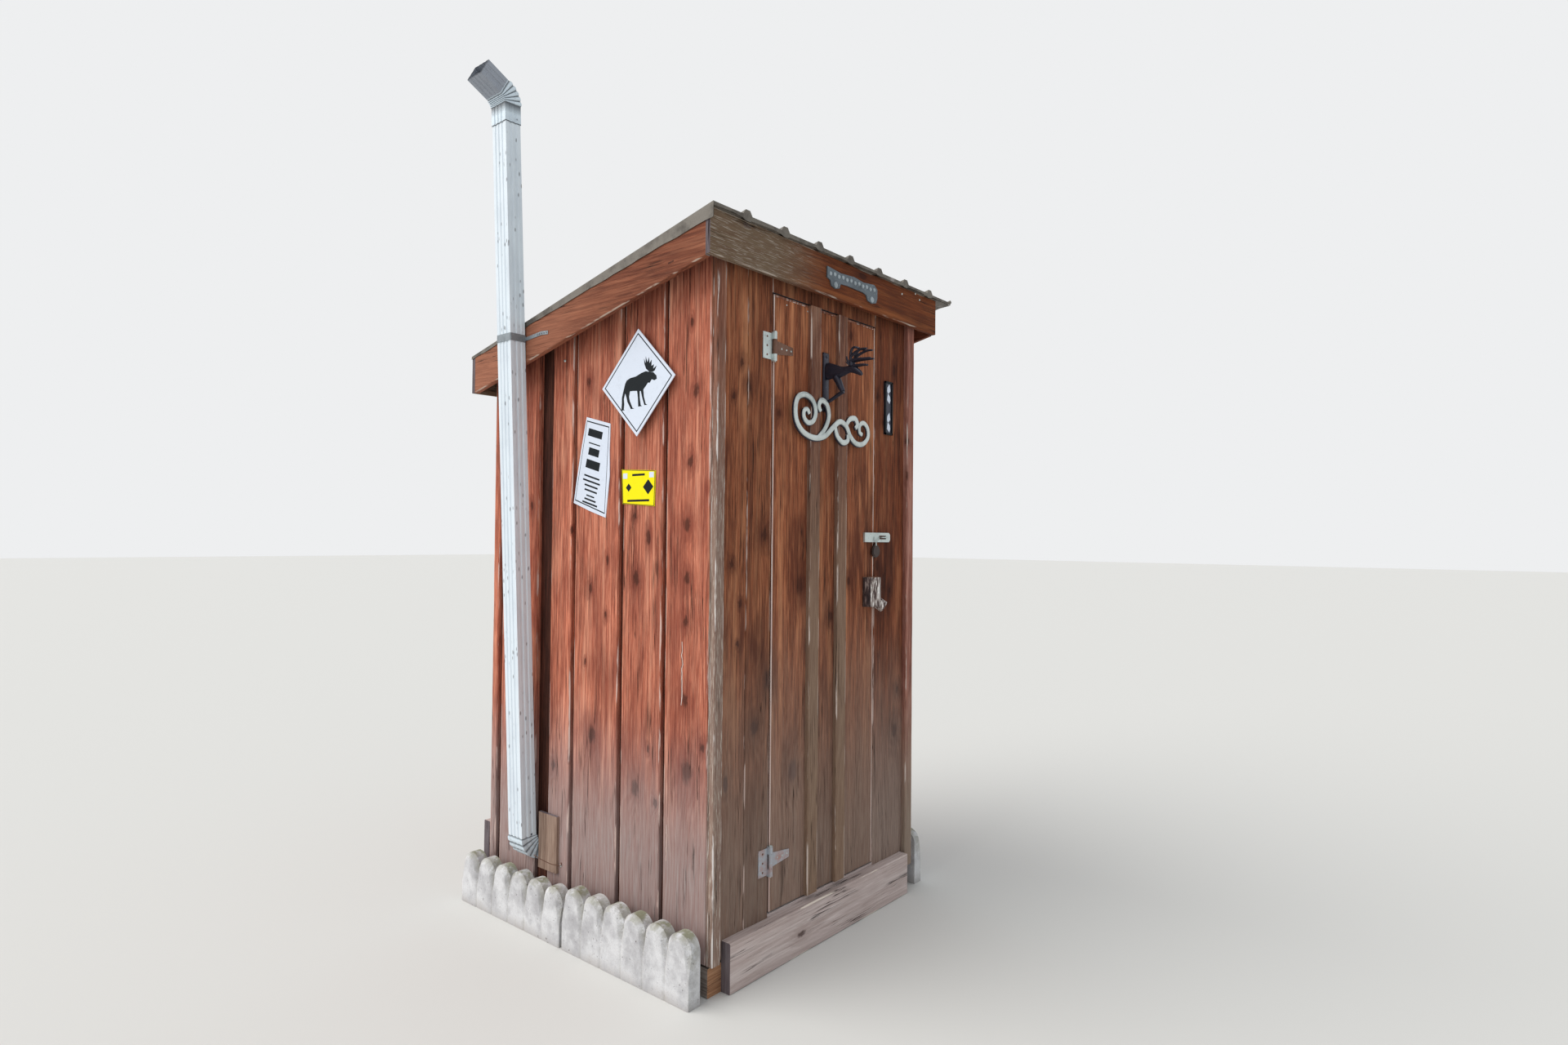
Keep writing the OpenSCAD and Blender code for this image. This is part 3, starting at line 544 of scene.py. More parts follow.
def round_section(radius, sides=10):
    return [(radius * c, radius * s) for c, s in circle(sides)]


def flat_section(half_w, thick, bevel=1.2):
    """Flat bar that stands thick off its base, with bevelled outer edges."""
    return [(-half_w, 0), (half_w, 0), (half_w, thick - bevel), (half_w - bevel, thick),
            (-half_w + bevel, thick), (-half_w, thick - bevel)]


def sheet_of(shape, outline, place, depth, slot=0, board=0.5):
    """Adds a flat plate from an outline of points: place(u, v, d) is a point d out from its back."""
    n = len(outline)
    points = [place(u, v, 0) for u, v in outline] + [place(u, v, depth) for u, v in outline]
    shape.add(points, caps(2, n) + grid(2, n, True), slot, board)


def studs(shape, places, outward, radius, rise, slot=0):
    """Adds low round heads of nails or screws at points of a surface."""
    outward = outward.normalized()
    side = outward.orthogonal().normalized()
    other = outward.cross(side)
    sides = 9
    for p in places:
        points = []
        for reach, lift in ((1.0, -0.2), (1.0, 0.35), (0.7, 0.85), (0.25, 1.0)):
            for c, s in circle(sides):
                round_it = (side * c + other * s) * (radius * reach / 1000)
                points.append(p + round_it + outward * (rise * lift / 1000))
        shape.add(points, grid(4, sides, True) + [list(range(3 * sides, 4 * sides))], slot)


# Planes that boards are laid in, each from where the board starts


def on_left(y0):
    return lambda u, v, w: at(v, y0 + u, w)


def on_right(y0):
    return lambda u, v, w: at(BODY_W - v, y0 + u, w)


def on_back(x0):
    return lambda u, v, w: at(x0 + u, BODY_D - v, w)


def on_front(x0, y0=0.0):
    return lambda u, v, w: at(x0 + u, y0 + v, w)


# Walls

JOINT_DEPTH = 16
CORNER_STRIP = 9
SIDE_JOINTS = [(203, 19), (413, 21), (670, 21), (810, 80), (1116, 28)]
# How pale each board of a side wall is, from the front, between 0 and 1
SIDE_TONES = (0.58, 0.52, 0.62, 0.95, 0.85, 1.0)


def side_boards():
    """Start and end of each outer board of a side wall, from the front."""
    spans = []
    start = CORNER_STRIP + 1
    for joint, width in SIDE_JOINTS:
        spans.append((start, joint))
        start = joint + width
    spans.append((start, BODY_D))
    return spans


def side_wall(name, plane, corner_material):
    """Outer boards over a backing seen in the open joints, stained dark partly as painted shade of the
    joints, with the raw lining inside.
    """
    node = name + "_wall"
    boards = Shape()
    for (y0, y1), tone in zip(side_boards(), SIDE_TONES):
        top = (eave_z(y0), eave_z(y1))
        plank(boards, plane(y0), y1 - y0, JOINT_DEPTH + 2, WALL_Z, top, 3.0, 1.1, tone=tone)
    boards.make(node + "_boards", "hut", [RED, END], [node])

    corner = Shape()
    plank(corner, plane(0), CORNER_STRIP, JOINT_DEPTH + 2, WALL_Z, (eave_z(0), eave_z(CORNER_STRIP)), 1.5)
    corner.make(node + "_corner", "hut", [corner_material, END], [node])

    lining = Shape()
    count = 7
    width = BODY_D / count
    depth = WALL_T - JOINT_DEPTH - 2.2
    for i in range(count):
        y0 = i * width
        inner = plane(y0)
        plank(lining, lambda u, v, w, inner=inner: inner(u, WALL_T - v, w), width - 0.8, depth,
              WALL_Z, (eave_z(y0), eave_z(y0 + width)), 1.0, 0.4)
    lining.make(node + "_lining", "hut", [RAW, END], [node])

    # The backing's dark stain is partly painted shade of the joints
    backing = Shape()
    plank(backing, lambda u, v, w: plane(0)(u, JOINT_DEPTH + v, w), BODY_D, 2.0, WALL_Z,
          (eave_z(0), eave_z(BODY_D)), 0.5, 0.2)
    backing.make(node + "_backing", "hut", [GROOVE_STAIN_AND_SHADE, GROOVE_STAIN_AND_SHADE], [node])


side_wall("left", on_left, TRIM)
side_wall("right", on_right, RIGHT_TRIM)


def back_wall():
    boards = Shape()
    count = 5
    pitch = (BODY_W - 2 * WALL_T) / count
    gap = 20
    for i in range(count):
        x0 = WALL_T + i * pitch + (gap / 2 if i else 0.5)
        x1 = WALL_T + (i + 1) * pitch - (gap / 2 if i < count - 1 else 0.5)
        plank(boards, on_back(x0), x1 - x0, JOINT_DEPTH + 2, WALL_Z, eave_z(BODY_D), 3.0, 1.1)
    boards.make("back_wall_boards", "hut", [RED, END], ["back_wall"])
    # The backing's dark stain is partly painted shade of the joints
    backing = Shape()
    plank(backing, lambda u, v, w: at(WALL_T + u, BODY_D - JOINT_DEPTH - v, w), BODY_W - 2 * WALL_T,
          WALL_T - JOINT_DEPTH, WALL_Z, eave_z(BODY_D - WALL_T), 0.5, 0.2)
    backing.make("back_wall_backing", "hut", [GROOVE_STAIN_AND_SHADE, RAW], ["back_wall"])


back_wall()


def front_wall():
    """Boards of the front, with the raw lining behind them."""
    spans = {
        "front_wall_left": [(WALL_T + 0.4, 158, 0.6), (159.5, box_mm("front_wall_left")[1].x, 0.3)],
        "front_wall_right": [(box_mm("front_wall_right")[0].x, BODY_W - WALL_T - 0.4, 0.1)],
        "front_wall_over_door": [(box_mm("front_wall_over_door")[0].x + 0.4, 484, 0.2), (485, 713, 0.3),
                                 (714, box_mm("front_wall_over_door")[1].x - 0.4, 0.3)],
    }
    for node, boards in spans.items():
        low, high = box_mm(node)
        shape = Shape()
        half = WALL_T / 2
        for x0, x1, tone in boards:
            plank(shape, on_front(x0), x1 - x0, half, low.z, eave_z(half), 2.0, 0.6, tone=tone)
        stain = DARK_BROWN if node == "front_wall_right" else BROWN
        shape.make(node + "_boards", "hut", [stain, END], [node])
        back = Shape()
        plank(back, lambda u, v, w, low=low: at(low.x + u, WALL_T - v, w), high.x - low.x, half - 0.3,
              low.z, eave_z(WALL_T), 0.8, 0.2)
        back.make(node + "_lining", "hut", [RAW, END], [node])


front_wall()


def node_board(node, name, materials, across, along, outward, chamfer, wave, step=85, top=None):
    """A board that fills its node's box. across and along are the axes of its width and its length,
    and outward is -1 where its outer face is on the low side of the third axis."""
    low, high = box_mm(node)
    depth = X + Y + Z - across - along

    def place(u, v, w):
        point = Vector()
        point[across] = low[across] + u
        point[depth] = low[depth] + v if outward < 0 else high[depth] - v
        point[along] = w
        return at(*point)

    shape = Shape()
    size = high - low
    plank(shape, place, size[across], size[depth], low[along], top or high[along], chamfer, wave, step)
    shape.make(name, "hut", materials, [node])


for edge, finish in (("left", TRIM), ("right", RIGHT_TRIM)):
    node_board(edge + "_corner_trim", edge + "_trim", [finish, END], X, Z, -1, 2.5, 0.9,
               step=60, top=eave_z(0))

# Roof edges

RAKE_Y0, RAKE_Y1 = box_mm("left_fascia")[0].y, box_mm("left_fascia")[1].y
DECK_RISE = BOARD_T / math.cos(ROOF_ANGLE)
FASCIA_H = box_mm("front_fascia")[1].z - box_mm("front_fascia")[0].z
RAKE_H = FASCIA_H / math.cos(ROOF_ANGLE)


def deck_top(y):
    return EAVE_Z + SEAT - y * SLOPE + DECK_RISE


def rake_board(side):
    low, high = box_mm(side + "_fascia")
    shape = Shape()

    def place(u, v, w):
        x = low.x + v if side == "left" else high.x - v
        return at(x, w, deck_top(w) - RAKE_H + u)

    plank(shape, place, RAKE_H, BOARD_T, RAKE_Y0, RAKE_Y1, 2.0, 1.0)
    shape.make(side + "_rake", "hut", [RAKE, END], [side + "_fascia"])


rake_board("left")
rake_board("right")

for node_name, outer in (("front_fascia", -1), ("back_fascia", 1)):
    node_board(node_name, node_name + "_board", [FASCIA, END], Z, X, outer, 2.5, 1.2)

# Roof sheet

SHEET_T = 1.5
SHEET_LOW, SHEET_HIGH = box_mm("roof_sheet")
ROLL_R = 7
SHEET_X1 = SHEET_HIGH.x - ROLL_R
SHEET_Y0, SHEET_Y1 = SHEET_LOW.y, BODY_D + 32
RIB_COUNT = 7
RIB_PITCH = 182.5
RIB_H = 18
RIB_FOOT = 21
RIB_CREST = 9
RIB_SHIFT = 40
FIRST_RIB_X = (BODY_W - (RIB_COUNT - 1) * RIB_PITCH) / 2 + RIB_SHIFT
APRON_FRONT_H, APRON_BACK_H = 47, 10


def sheet_under(y):
    return deck_top(y) + SEAT


def rib_profile():
    """Places across the sheet with the height that its ribs have there."""
    line = [(SHEET_LOW.x, 0.0)]
    for i in range(RIB_COUNT):
        x = FIRST_RIB_X + i * RIB_PITCH
        line += [(x - RIB_PITCH * 0.36, 0.0), (x - RIB_FOOT, 0.0), (x - RIB_CREST - 1, RIB_H - 1.5),
                 (x - RIB_CREST + 2, RIB_H), (x + RIB_CREST - 2, RIB_H), (x + RIB_CREST + 1, RIB_H - 1.5),
                 (x + RIB_FOOT, 0.0)]
    line.append((SHEET_X1, 0.0))
    return line


def roof_sheet():
    """Ribbed sheet with dents, a drooping lip that closes its ribs, and a ragged apron on the left."""
    shape = Shape()
    line = rib_profile()
    rows = 26
    points = []
    for k in range(rows):
        y = lerp(SHEET_Y0, SHEET_Y1, k / (rows - 1))
        for x, rise in line:
            dent = 2.2 * abs(noise(Vector((x / 130, y / 150, 4.1))))
            points.append(at(x, y, sheet_under(y) + SHEET_T + min(rise, RIB_H - 2.2) + dent))
    lip = []
    for x, rise in line:
        droop = 9 + 5 * noise(Vector((x / 55, 0.7, 1.9))) + (4 if rise else 0)
        lip.append(at(x, SHEET_Y0 + 1.5, sheet_under(SHEET_Y0) - droop))
    count = len(line)
    shape.add(lip + points, grid(rows + 1, count))
    under = []
    for k in range(rows):
        y = lerp(SHEET_Y0 + 2.5, SHEET_Y1, k / (rows - 1))
        under += [at(x, y, sheet_under(y) + 0.1 + (rise * 0.9 if k else -8)) for x, rise in line]
    shape.add(under, grid(rows, count))

    apron_rows = 44
    points = []
    for k in range(apron_rows):
        share = k / (apron_rows - 1)
        y = lerp(SHEET_Y0, SHEET_Y1, share)
        height = lerp(APRON_FRONT_H, APRON_BACK_H, share ** 0.8) + 5 * noise(Vector((y / 90, 3.3, 0)))
        top = sheet_under(y) + SHEET_T + 1
        bulge = 2.4 * abs(noise(Vector((y / 70, 8.1, 0))))
        for depth, out in ((0.0, 0.0), (0.35, bulge), (0.75, bulge * 0.7), (1.0, bulge + 0.6)):
            points.append(at(SHEET_LOW.x - out, y, top - height * depth))
    shape.add(points, grid(apron_rows, 4))
    shape.add([p + Vector((SHEET_T / 1000, 0, 0)) for p in points], grid(apron_rows, 4))

    roll_y = [lerp(SHEET_Y0, SHEET_Y1, k / 20) for k in range(21)]
    path = [at(SHEET_X1, y, sheet_under(y) + ROLL_R) for y in roll_y]
    sweep(shape, path, round_section(ROLL_R - 0.4, 12), Vector((1, 0, 0)))
    shape.make("roof_skin", "hut", [ROOF], ["roof_sheet"], 28)


roof_sheet()

# Door


def door():
    low, high = box_mm("door_boards")
    strips_low, strips_high = box_mm("door_battens")
    width = 56
    gap = 0.4
    strips = (strips_low.x, strips_high.x - width)
    shape = Shape()
    joints = [low.x] + [x + width / 2 for x in strips] + [high.x]
    for x0, x1, tone in zip(joints, joints[1:], (1.0, 0.5, 0.72)):
        wide = x1 - x0 - 2 * gap
        plank(shape, on_front(x0 + gap), wide, high.y - low.y, low.z, high.z, 2.0, 0.6, tone=tone)
    shape.make("door_planks", "door", [BROWN, END], ["door_boards"])

    battens = Shape()
    for x0 in strips:
        plank(battens, on_front(x0, strips_low.y), width, strips_high.y - strips_low.y, strips_low.z,
              strips_high.z, 2.5, 0.8, tone=0.5)
    battens.make("door_strips", "door", [BATTEN, END], ["door_battens"])

    # Paint worn to bare wood along the door's edges, and a thin bead along its top
    bare = Shape()
    for x0, lip in ((low.x, 5), (high.x - 3.4, 3.4)):
        plank(bare, on_front(x0, -0.6), lip, 3, low.z, high.z, 0.6, 0.5, 40)
    bare.make("door_edge_wear", "door", [WORN_PAINT, WORN_PAINT])
    bead = Shape()
    bead_h = 7

    def along_top(u, v, w):
        return at(w, v - 3.5, high.z - bead_h + u)

    starts = (low.x + 4, strips[0] + width, strips[1] + width)
    for x0, x1 in zip(starts, (*strips, high.x - 14)):
        plank(bead, along_top, bead_h, 3.6, x0, x1, 1.2, 1.0, 25)
    bead.make("door_top_bead", "door", [TRIM, END])


door()

for node_name, outer in (("front_plank", -1), ("back_plank", 1)):
    node_board(node_name, node_name + "_board", [GREY_X, END], Z, X, outer, 3.0, 1.2)


def skids():
    """The two skids, with fresh end grain where they were sawn."""
    low, high = box_mm("skids")
    side = high.z - low.z
    shape = Shape()
    for x0 in (low.x, high.x - side):
        plank(shape, lambda u, v, w, x0=x0: at(x0 + v, w, low.z + u), side, side, low.y, high.y, 3.0, 0.8)
    shape.make("skid_beams", "hut", [GREY_Y, FRESH_END], ["skids"])


skids()

node_board("patch_board", "wall_patch", [GREY_Z, END], Y, Z, -1, 2.0, 1.0, 40)

# Edging

POST_R = 50.8
POST_COUNT = 6
POST_BEVEL = 17
POST_GROOVE = 2


def arch_outline(height, centre_z):
    """Upright outline of a post with a round top, from its left foot over the top to its right foot."""
    arc = [(-POST_R * c, centre_z + POST_R * s) for c, s in circle(40)[:21]]
    rises = (0.0, 0.3, 0.55, 0.75, 0.9)
    left = [(-POST_R, centre_z * share) for share in rises]
    right = [(POST_R, centre_z * share) for share in reversed(rises)]
    return left + arc + right


def edging_post(shape, place, height, depth, seed):
    """place(u, d, w) is a point u across the post, d out from its back and w up.
    The bevel is wide round the arch and turns into a shallow groove between two posts below it."""
    centre_z = height - POST_R
    points = []
    rims = []
    for inset, rim in ((None, 0.4), (0.0, 1.0), (1.0, 0.15), (2.0, 0.0)):
        for u, w in arch_outline(height, centre_z):
            arch = min(max((w - centre_z + 62) / 62, 0.0), 1.0)
            wide = lerp(7, POST_BEVEL, arch) * (inset or 0) / POST_R
            deep = 0.0 if inset is None else depth - lerp(POST_GROOVE, POST_BEVEL * 0.85, arch)
            if inset == 1.0:
                deep = depth - 1.2 * abs(noise(Vector((seed + u / 25, w / 25, 1.3))))
            elif inset == 2.0:
                deep = depth - 0.3
            rise = centre_z + (w - centre_z) * (1 - wide) if w > centre_z else w
            points.append(place(u * (1 - wide), deep, rise))
            rims.append(rim * lerp(0.3, 1.0, arch))
    count = len(points) // 4
    faces = grid(4, count) + caps(4, count)
    faces.append([k * count for k in range(4)] + [k * count + count - 1 for k in (3, 2, 1, 0)])
    shape.add(points, faces, 0, 0.5, rims)


def edging(side):
    low, high = box_mm(side + "_edging")
    depth = high.x - low.x
    front_h = high.z
    back_h = front_h - 22
    section = 2 * POST_R * POST_COUNT
    shape = Shape()
    for index, (y0, height) in enumerate(((low.y, front_h), (high.y - section, back_h))):
        for i in range(POST_COUNT):
            middle = y0 + (2 * i + 1) * POST_R

            def place(u, d, w, middle=middle):
                return at(high.x - d if side == "left" else low.x + d, middle + u, w)

            edging_post(shape, place, height, depth, 11 * i + 70 * index + (5 if side == "left" else 0))
    shape.make(side + "_edging_posts", "hut", [CONCRETE], [side + "_edging"], 20)


edging("left")
edging("right")

# Signs on the left wall, drawn in Y and Z. What is printed on them lies a little off their face.

PRINT_OUT = 0.25


def off_wall(out):
    """Places on a plate that lies off the left wall, from Y, Z and the distance from the plate's back."""
    return lambda u, v, d: at(-out - d, u, v)


def off_front(y):
    """The same on a plate that faces the front, from X and Z."""
    return lambda u, v, d: at(u, y - d, v)


def mark(shape, outline, place):
    """Adds a flat printed mark."""
    shape.add([place(u, v, 0) for u, v in outline], [list(range(len(outline)))])


def plate(name, material, outline, place, depth):
    """A piece of the hut that is one flat plate."""
    shape = Shape()
    sheet_of(shape, outline, place, depth)
    shape.make(name, "hut", [material])


def middle_of(outline):
    return sum(p[0] for p in outline) / len(outline), sum(p[1] for p in outline) / len(outline)


def shrunk(outline, share):
    mid = middle_of(outline)
    return [(lerp(mid[0], u, share), lerp(mid[1], v, share)) for u, v in outline]


def frame_line(shape, outline, outer, inner, place):
    """Flat printed line between two shrunk copies of an outline."""
    points = [place(u, v, 0) for u, v in shrunk(outline, outer) + shrunk(outline, inner)]
    shape.add(points, grid(2, len(outline), True))


def bar(u, v, width, height, turn=0.0):
    """Outline of a flat bar about its middle."""
    c, s = math.cos(turn), math.sin(turn)
    return [(u + a * width / 2 * c - b * height / 2 * s, v + a * width / 2 * s + b * height / 2 * c)
            for a, b in ((-1, -1), (1, -1), (1, 1), (-1, 1))]


ANIMAL_BODY = [
    (-60, 2), (-52, 12), (-34, 18), (-8, 20), (18, 28), (40, 32), (58, 28), (78, 24), (92, 12), (94, 2),
    (82, -2), (70, 3), (60, -8), (52, -6), (42, -16), (30, -26), (33, -50), (42, -74), (50, -78),
    (36, -78), (24, -50), (18, -30), (12, -30), (13, -52), (18, -76), (24, -80), (6, -80), (4, -52),
    (0, -28), (-22, -26), (-36, -26), (-40, -44), (-36, -58), (-22, -82), (-14, -85), (-30, -85),
    (-48, -60), (-54, -42), (-60, -30), (-66, -48), (-64, -66), (-66, -84), (-60, -86), (-78, -86),
    (-76, -62), (-76, -44), (-68, -20)
]
ANIMAL_ANTLER = [
    (58, 28), (42, 40), (34, 56), (32, 74), (40, 58), (40, 80), (48, 60), (56, 76), (58, 56), (68, 66),
    (68, 46), (80, 50), (76, 36), (92, 44), (84, 30), (74, 26)
]


def diamond_sign():
    corners = [(323, 2074), (146, 1903), (325, 1721), (504, 1894)]
    back, thick = 19, 3
    # The block behind the plate is dark so that the gap under the sign reads dark: painted shadow
    plate("diamond_block", GROOVE_STAIN_AND_SHADE, shrunk(corners, 0.84), off_wall(-0.9), back + 1)
    plate("diamond_plate", WHITE, corners, off_wall(back), thick)
    marks = Shape()
    frame_line(marks, corners, 0.925, 0.895, off_wall(back + thick + PRINT_OUT))
    mid = middle_of(corners)
    for outline in (ANIMAL_BODY, ANIMAL_ANTLER):
        sheet_of(marks, [(mid[0] - a, mid[1] + b) for a, b in outline], off_wall(back + thick - 0.1), 0.5)
    marks.make("diamond_marks", "hut", [BLACK])


def poster():
    """Thin board with a frame line and plain bars."""
    corners = [(612, 1810), (483, 1777), (503, 1457), (679, 1511)]
    wavy = [(612, 1810), (483, 1777), (486, 1690), (484, 1600), (497, 1500), (503, 1457), (592, 1482),
            (679, 1511), (664, 1590), (640, 1700)]
    back, thick = -0.6, 2.6
    plate("poster_plate", WHITE, wavy, off_wall(back), thick)
    marks = Shape()
    face = off_wall(back + thick + PRINT_OUT)
    frame_line(marks, corners, 0.93, 0.905, face)
    turn = math.radians(-15)
    rows = [(1748, 78, 26), (1712, 64, 4), (1684, 58, 26), (1640, 76, 30), (1598, 86, 6), (1582, 96, 6),
            (1566, 74, 6), (1550, 70, 6), (1532, 44, 5), (1519, 64, 6), (1506, 84, 6)]
    for z, width, height in rows:
        middle = lerp(560, 590, (1780 - z) / 280)
        mark(marks, bar(middle, z, width, height, -turn), face)
    marks.make("poster_marks", "hut", [BLACK])


def yellow_plate():
    corners = [(421, 1618), (253, 1608), (257, 1492), (414, 1503)]
    back, thick = -0.6, 3.0
    plate("yellow_plate", YELLOW, corners, off_wall(back), thick)
    face = off_wall(back + thick + PRINT_OUT)
    marks = Shape()
    frame_line(marks, corners, 0.985, 0.955, face)
    diamond = [(-0.5, 0), (-0.2, 0.3), (0, 0.5), (0.2, 0.3), (0.5, 0), (0.2, -0.3), (0, -0.5),
               (-0.2, -0.3)]
    for y, size in ((288, 50), (384, 28)):
        mark(marks, [(y + a * size, 1556 + b * size) for a, b in diamond], face)
    for z, width in ((1597, 62), (1512, 108)):
        mark(marks, bar(336, z, width, 7), face)
    marks.make("yellow_marks", "hut", [BLACK])
    patches = Shape()
    for y in (272, 402):
        mark(patches, bar(y, 1595, 22, 18), off_wall(back + thick + PRINT_OUT + 0.15))
    patches.make("yellow_patches", "hut", [WHITE])


diamond_sign()
poster()
yellow_plate()

# Fittings of the front. Three directions: out of the front, out of the left wall, and up.

OUT = Vector((0, -1, 0))
LEFT = Vector((-1, 0, 0))
UP = Vector((0, 0, 1))


def smooth_path(knots, steps=7):
    """Curve through the knots, each step a blend of its four nearest knots."""
    path = []
    for i in range(len(knots) - 1):
        a, b, c, d = (Vector(knots[min(max(i + j, 0), len(knots) - 1)]) for j in (-1, 0, 1, 2))
        for k in range(steps):
            t = k / steps
            path.append(0.5 * ((2 * b) + (c - a) * t + (2 * a - 5 * b + 4 * c - d) * t * t
                               + (3 * b - a - 3 * c + d) * t ** 3))
    path.append(Vector(knots[-1]))
    return path


SCROLL_STROKES = [
    [(452, 1822), (440, 1836), (422, 1828), (422, 1806), (444, 1790), (474, 1800), (486, 1832),
     (470, 1868), (430, 1884), (390, 1872), (374, 1836), (382, 1788), (420, 1754), (480, 1741),
     (540, 1753), (590, 1790), (630, 1813), (668, 1800), (692, 1768), (730, 1744), (776, 1746),
     (808, 1774), (804, 1808), (778, 1824), (754, 1812), (754, 1788), (770, 1780)],
    [(502, 1745), (540, 1778), (562, 1824), (550, 1864), (520, 1876), (504, 1856), (516, 1838)],
    [(602, 1794), (612, 1762), (646, 1740), (676, 1748), (680, 1770)],
    [(668, 1802), (690, 1828), (722, 1834), (738, 1814), (726, 1798)],
]


def door_scroll():
    """Silver scrollwork in flat relief, a running tendril with curled ends."""
    front = box_mm("door_battens")[0].y
    section = [(-9.5, 0), (9.5, 0), (9.5, 7), (7, 9.5), (0, 10.2), (-7, 9.5), (-9.5, 7)]
    under = [(-10.5, 0), (10.5, 0), (10.5, 5), (-10.5, 5)]
    shape = Shape()
    shadow = Shape()

    def stroke_width(t):
        return 0.55 + 0.45 * math.sin(math.pi * min(max(t, 0.04), 0.96)) ** 0.35

    for level, stroke in enumerate(SCROLL_STROKES):
        y = front - 0.2 - 0.05 * level
        path = [at(p.x, y, p.y) for p in smooth_path([(x, z, 0) for x, z in stroke])]
        sweep(shape, path, section, OUT, stroke_width)
        # A dark copy of the stroke, set a little down and to the left under it, is painted shadow along its
        # edges
        sweep(shadow, [p + Vector((-0.0018, 0.0002, -0.0022)) for p in path], under, OUT, stroke_width)
    shape.make("door_scroll", "door", [SILVER], sharp=40)
    shadow.make("door_scroll_painted_shadow", "door", [IRON], sharp=40)


def fascia_plaque():
    """Cast plaque with two lower lobes and a raised leaf border."""
    y = box_mm("front_fascia")[0].y
    outline = [(482, 2330), (482, 2292), (500, 2285), (507, 2268), (530, 2262), (553, 2268),
               (560, 2285), (600, 2288), (700, 2286), (720, 2281), (728, 2264), (755, 2258),
               (783, 2265), (791, 2284), (791, 2316), (770, 2330), (700, 2323), (640, 2329),
               (560, 2323)]
    shape = Shape()
    sheet_of(shape, outline, off_front(y), 5)
    # The beads take the lighter metal as painted highlight on the relief
    studs(shape, [at(500 + i * 24.5, y - 4.6, 2308 + 3 * (i % 2)) for i in range(12)], OUT, 7.5, 4, 1)
    studs(shape, [at(530, y - 4.6, 2275), at(755, y - 4.6, 2272)], OUT, 11, 5, 1)
    shape.make("fascia_plaque", "hut", [CAST, RELIEF_HIGHLIGHT], sharp=30)


def narrow_plaque():
    """Framed upright plaque with four pale leaves on a dark ground."""
    x0, x1, z0, z1 = 947, 1001, 1800, 2008
    wide = 7

    def corners(u0, u1, v0, v1):
        return [(u0, v0), (u1, v0), (u1, v1), (u0, v1)]

    plate("narrow_plaque", IRON, corners(x0, x1, z0, z1), off_front(0.4), 5)
    rim = Shape()
    uprights = ((x0, x0 + wide, z0, z1), (x1 - wide, x1, z0, z1))
    rails = ((x0, x1, z0, z0 + wide), (x0, x1, z1 - wide, z1))
    for edges in uprights + rails:
        sheet_of(rim, corners(*edges), off_front(-4), 4)
    rim.make("narrow_plaque_frame", "hut", [BLACK])
    line = Shape()
    frame_line(line, corners(x0, x1, z0, z1), 0.70, 0.64, off_front(-4.5))
    line.make("narrow_plaque_line", "hut", [PALE_GREEN])
    leaves = Shape()
    middle = (x0 + x1) / 2
    for i, rise in enumerate((30, 66, 142, 178)):
        z = z0 + rise
        lean = 5 if i % 2 else -5
        outline = [(middle - lean, z - 20), (middle + 11, z - 6), (middle + 8, z + 8),
                   (middle + lean, z + 21), (middle - 9, z + 7), (middle - 11, z - 7)]
        sheet_of(leaves, outline, off_front(-4.4), 1.6)
    leaves.make("narrow_plaque_leaves", "hut", [WHITE])


door_scroll()
fascia_plaque()
narrow_plaque()

# Coat hook, whose back plate has this width, thickness and height

HOOK_PLATE = (32, 8, 210)
HOOK_LOW, HOOK_HIGH = box_mm("coat_hook")
HOOK_X = (HOOK_LOW.x + HOOK_HIGH.x) / 2


def hook_place(reach, rise, aside=0.0):
    """A point of the coat hook: how far off the door it is, how high on the plate and how far aside."""
    return at(HOOK_X + aside, -reach, HOOK_LOW.z + rise)


def hook_places(*points):
    return [hook_place(*point) for point in points]


def loft(shape, stations):
    """Rounded body through stations of reach, rise, half height and half width."""
    sides = 14
    points = []
    for k, (reach, rise, half_h, half_w) in enumerate(stations):
        before = stations[max(k - 1, 0)]
        after = stations[min(k + 1, len(stations) - 1)]
        along = Vector((after[0] - before[0], after[1] - before[1])).normalized()
        for c, s in circle(sides):
            off = half_h * s
            points.append(hook_place(reach - along.y * off, rise + along.x * off, half_w * c))
    shape.add(points, grid(len(stations), sides, True) + caps(len(stations), sides))


def tube(shape, places, radii):
    """Round bar through places, its radius running from the first value to the last."""
    path = smooth_path(places, 5)
    sweep(shape, path, round_section(1.0, 9), Vector((1, 0, 0)), lambda t: lerp(radii[0], radii[1], t))


# Thickness of each beam of an antler at its root and its tip, and its places as reach and rise
ANTLER_BEAMS = [
    ((6.5, 3.6), [(118, 150), (119, 172), (124, 196), (138, 209), (160, 203)]),
    ((5.8, 3.2), [(122, 182), (144, 193), (168, 200), (190, 199)]),
    ((5.8, 3.2), [(120, 168), (148, 169), (176, 168), (201, 167)]),
    ((5.4, 3.0), [(126, 150), (148, 149), (164, 149), (181, 147)]),
    ((4.8, 2.8), [(114, 158), (105, 170), (103, 183)]),
]


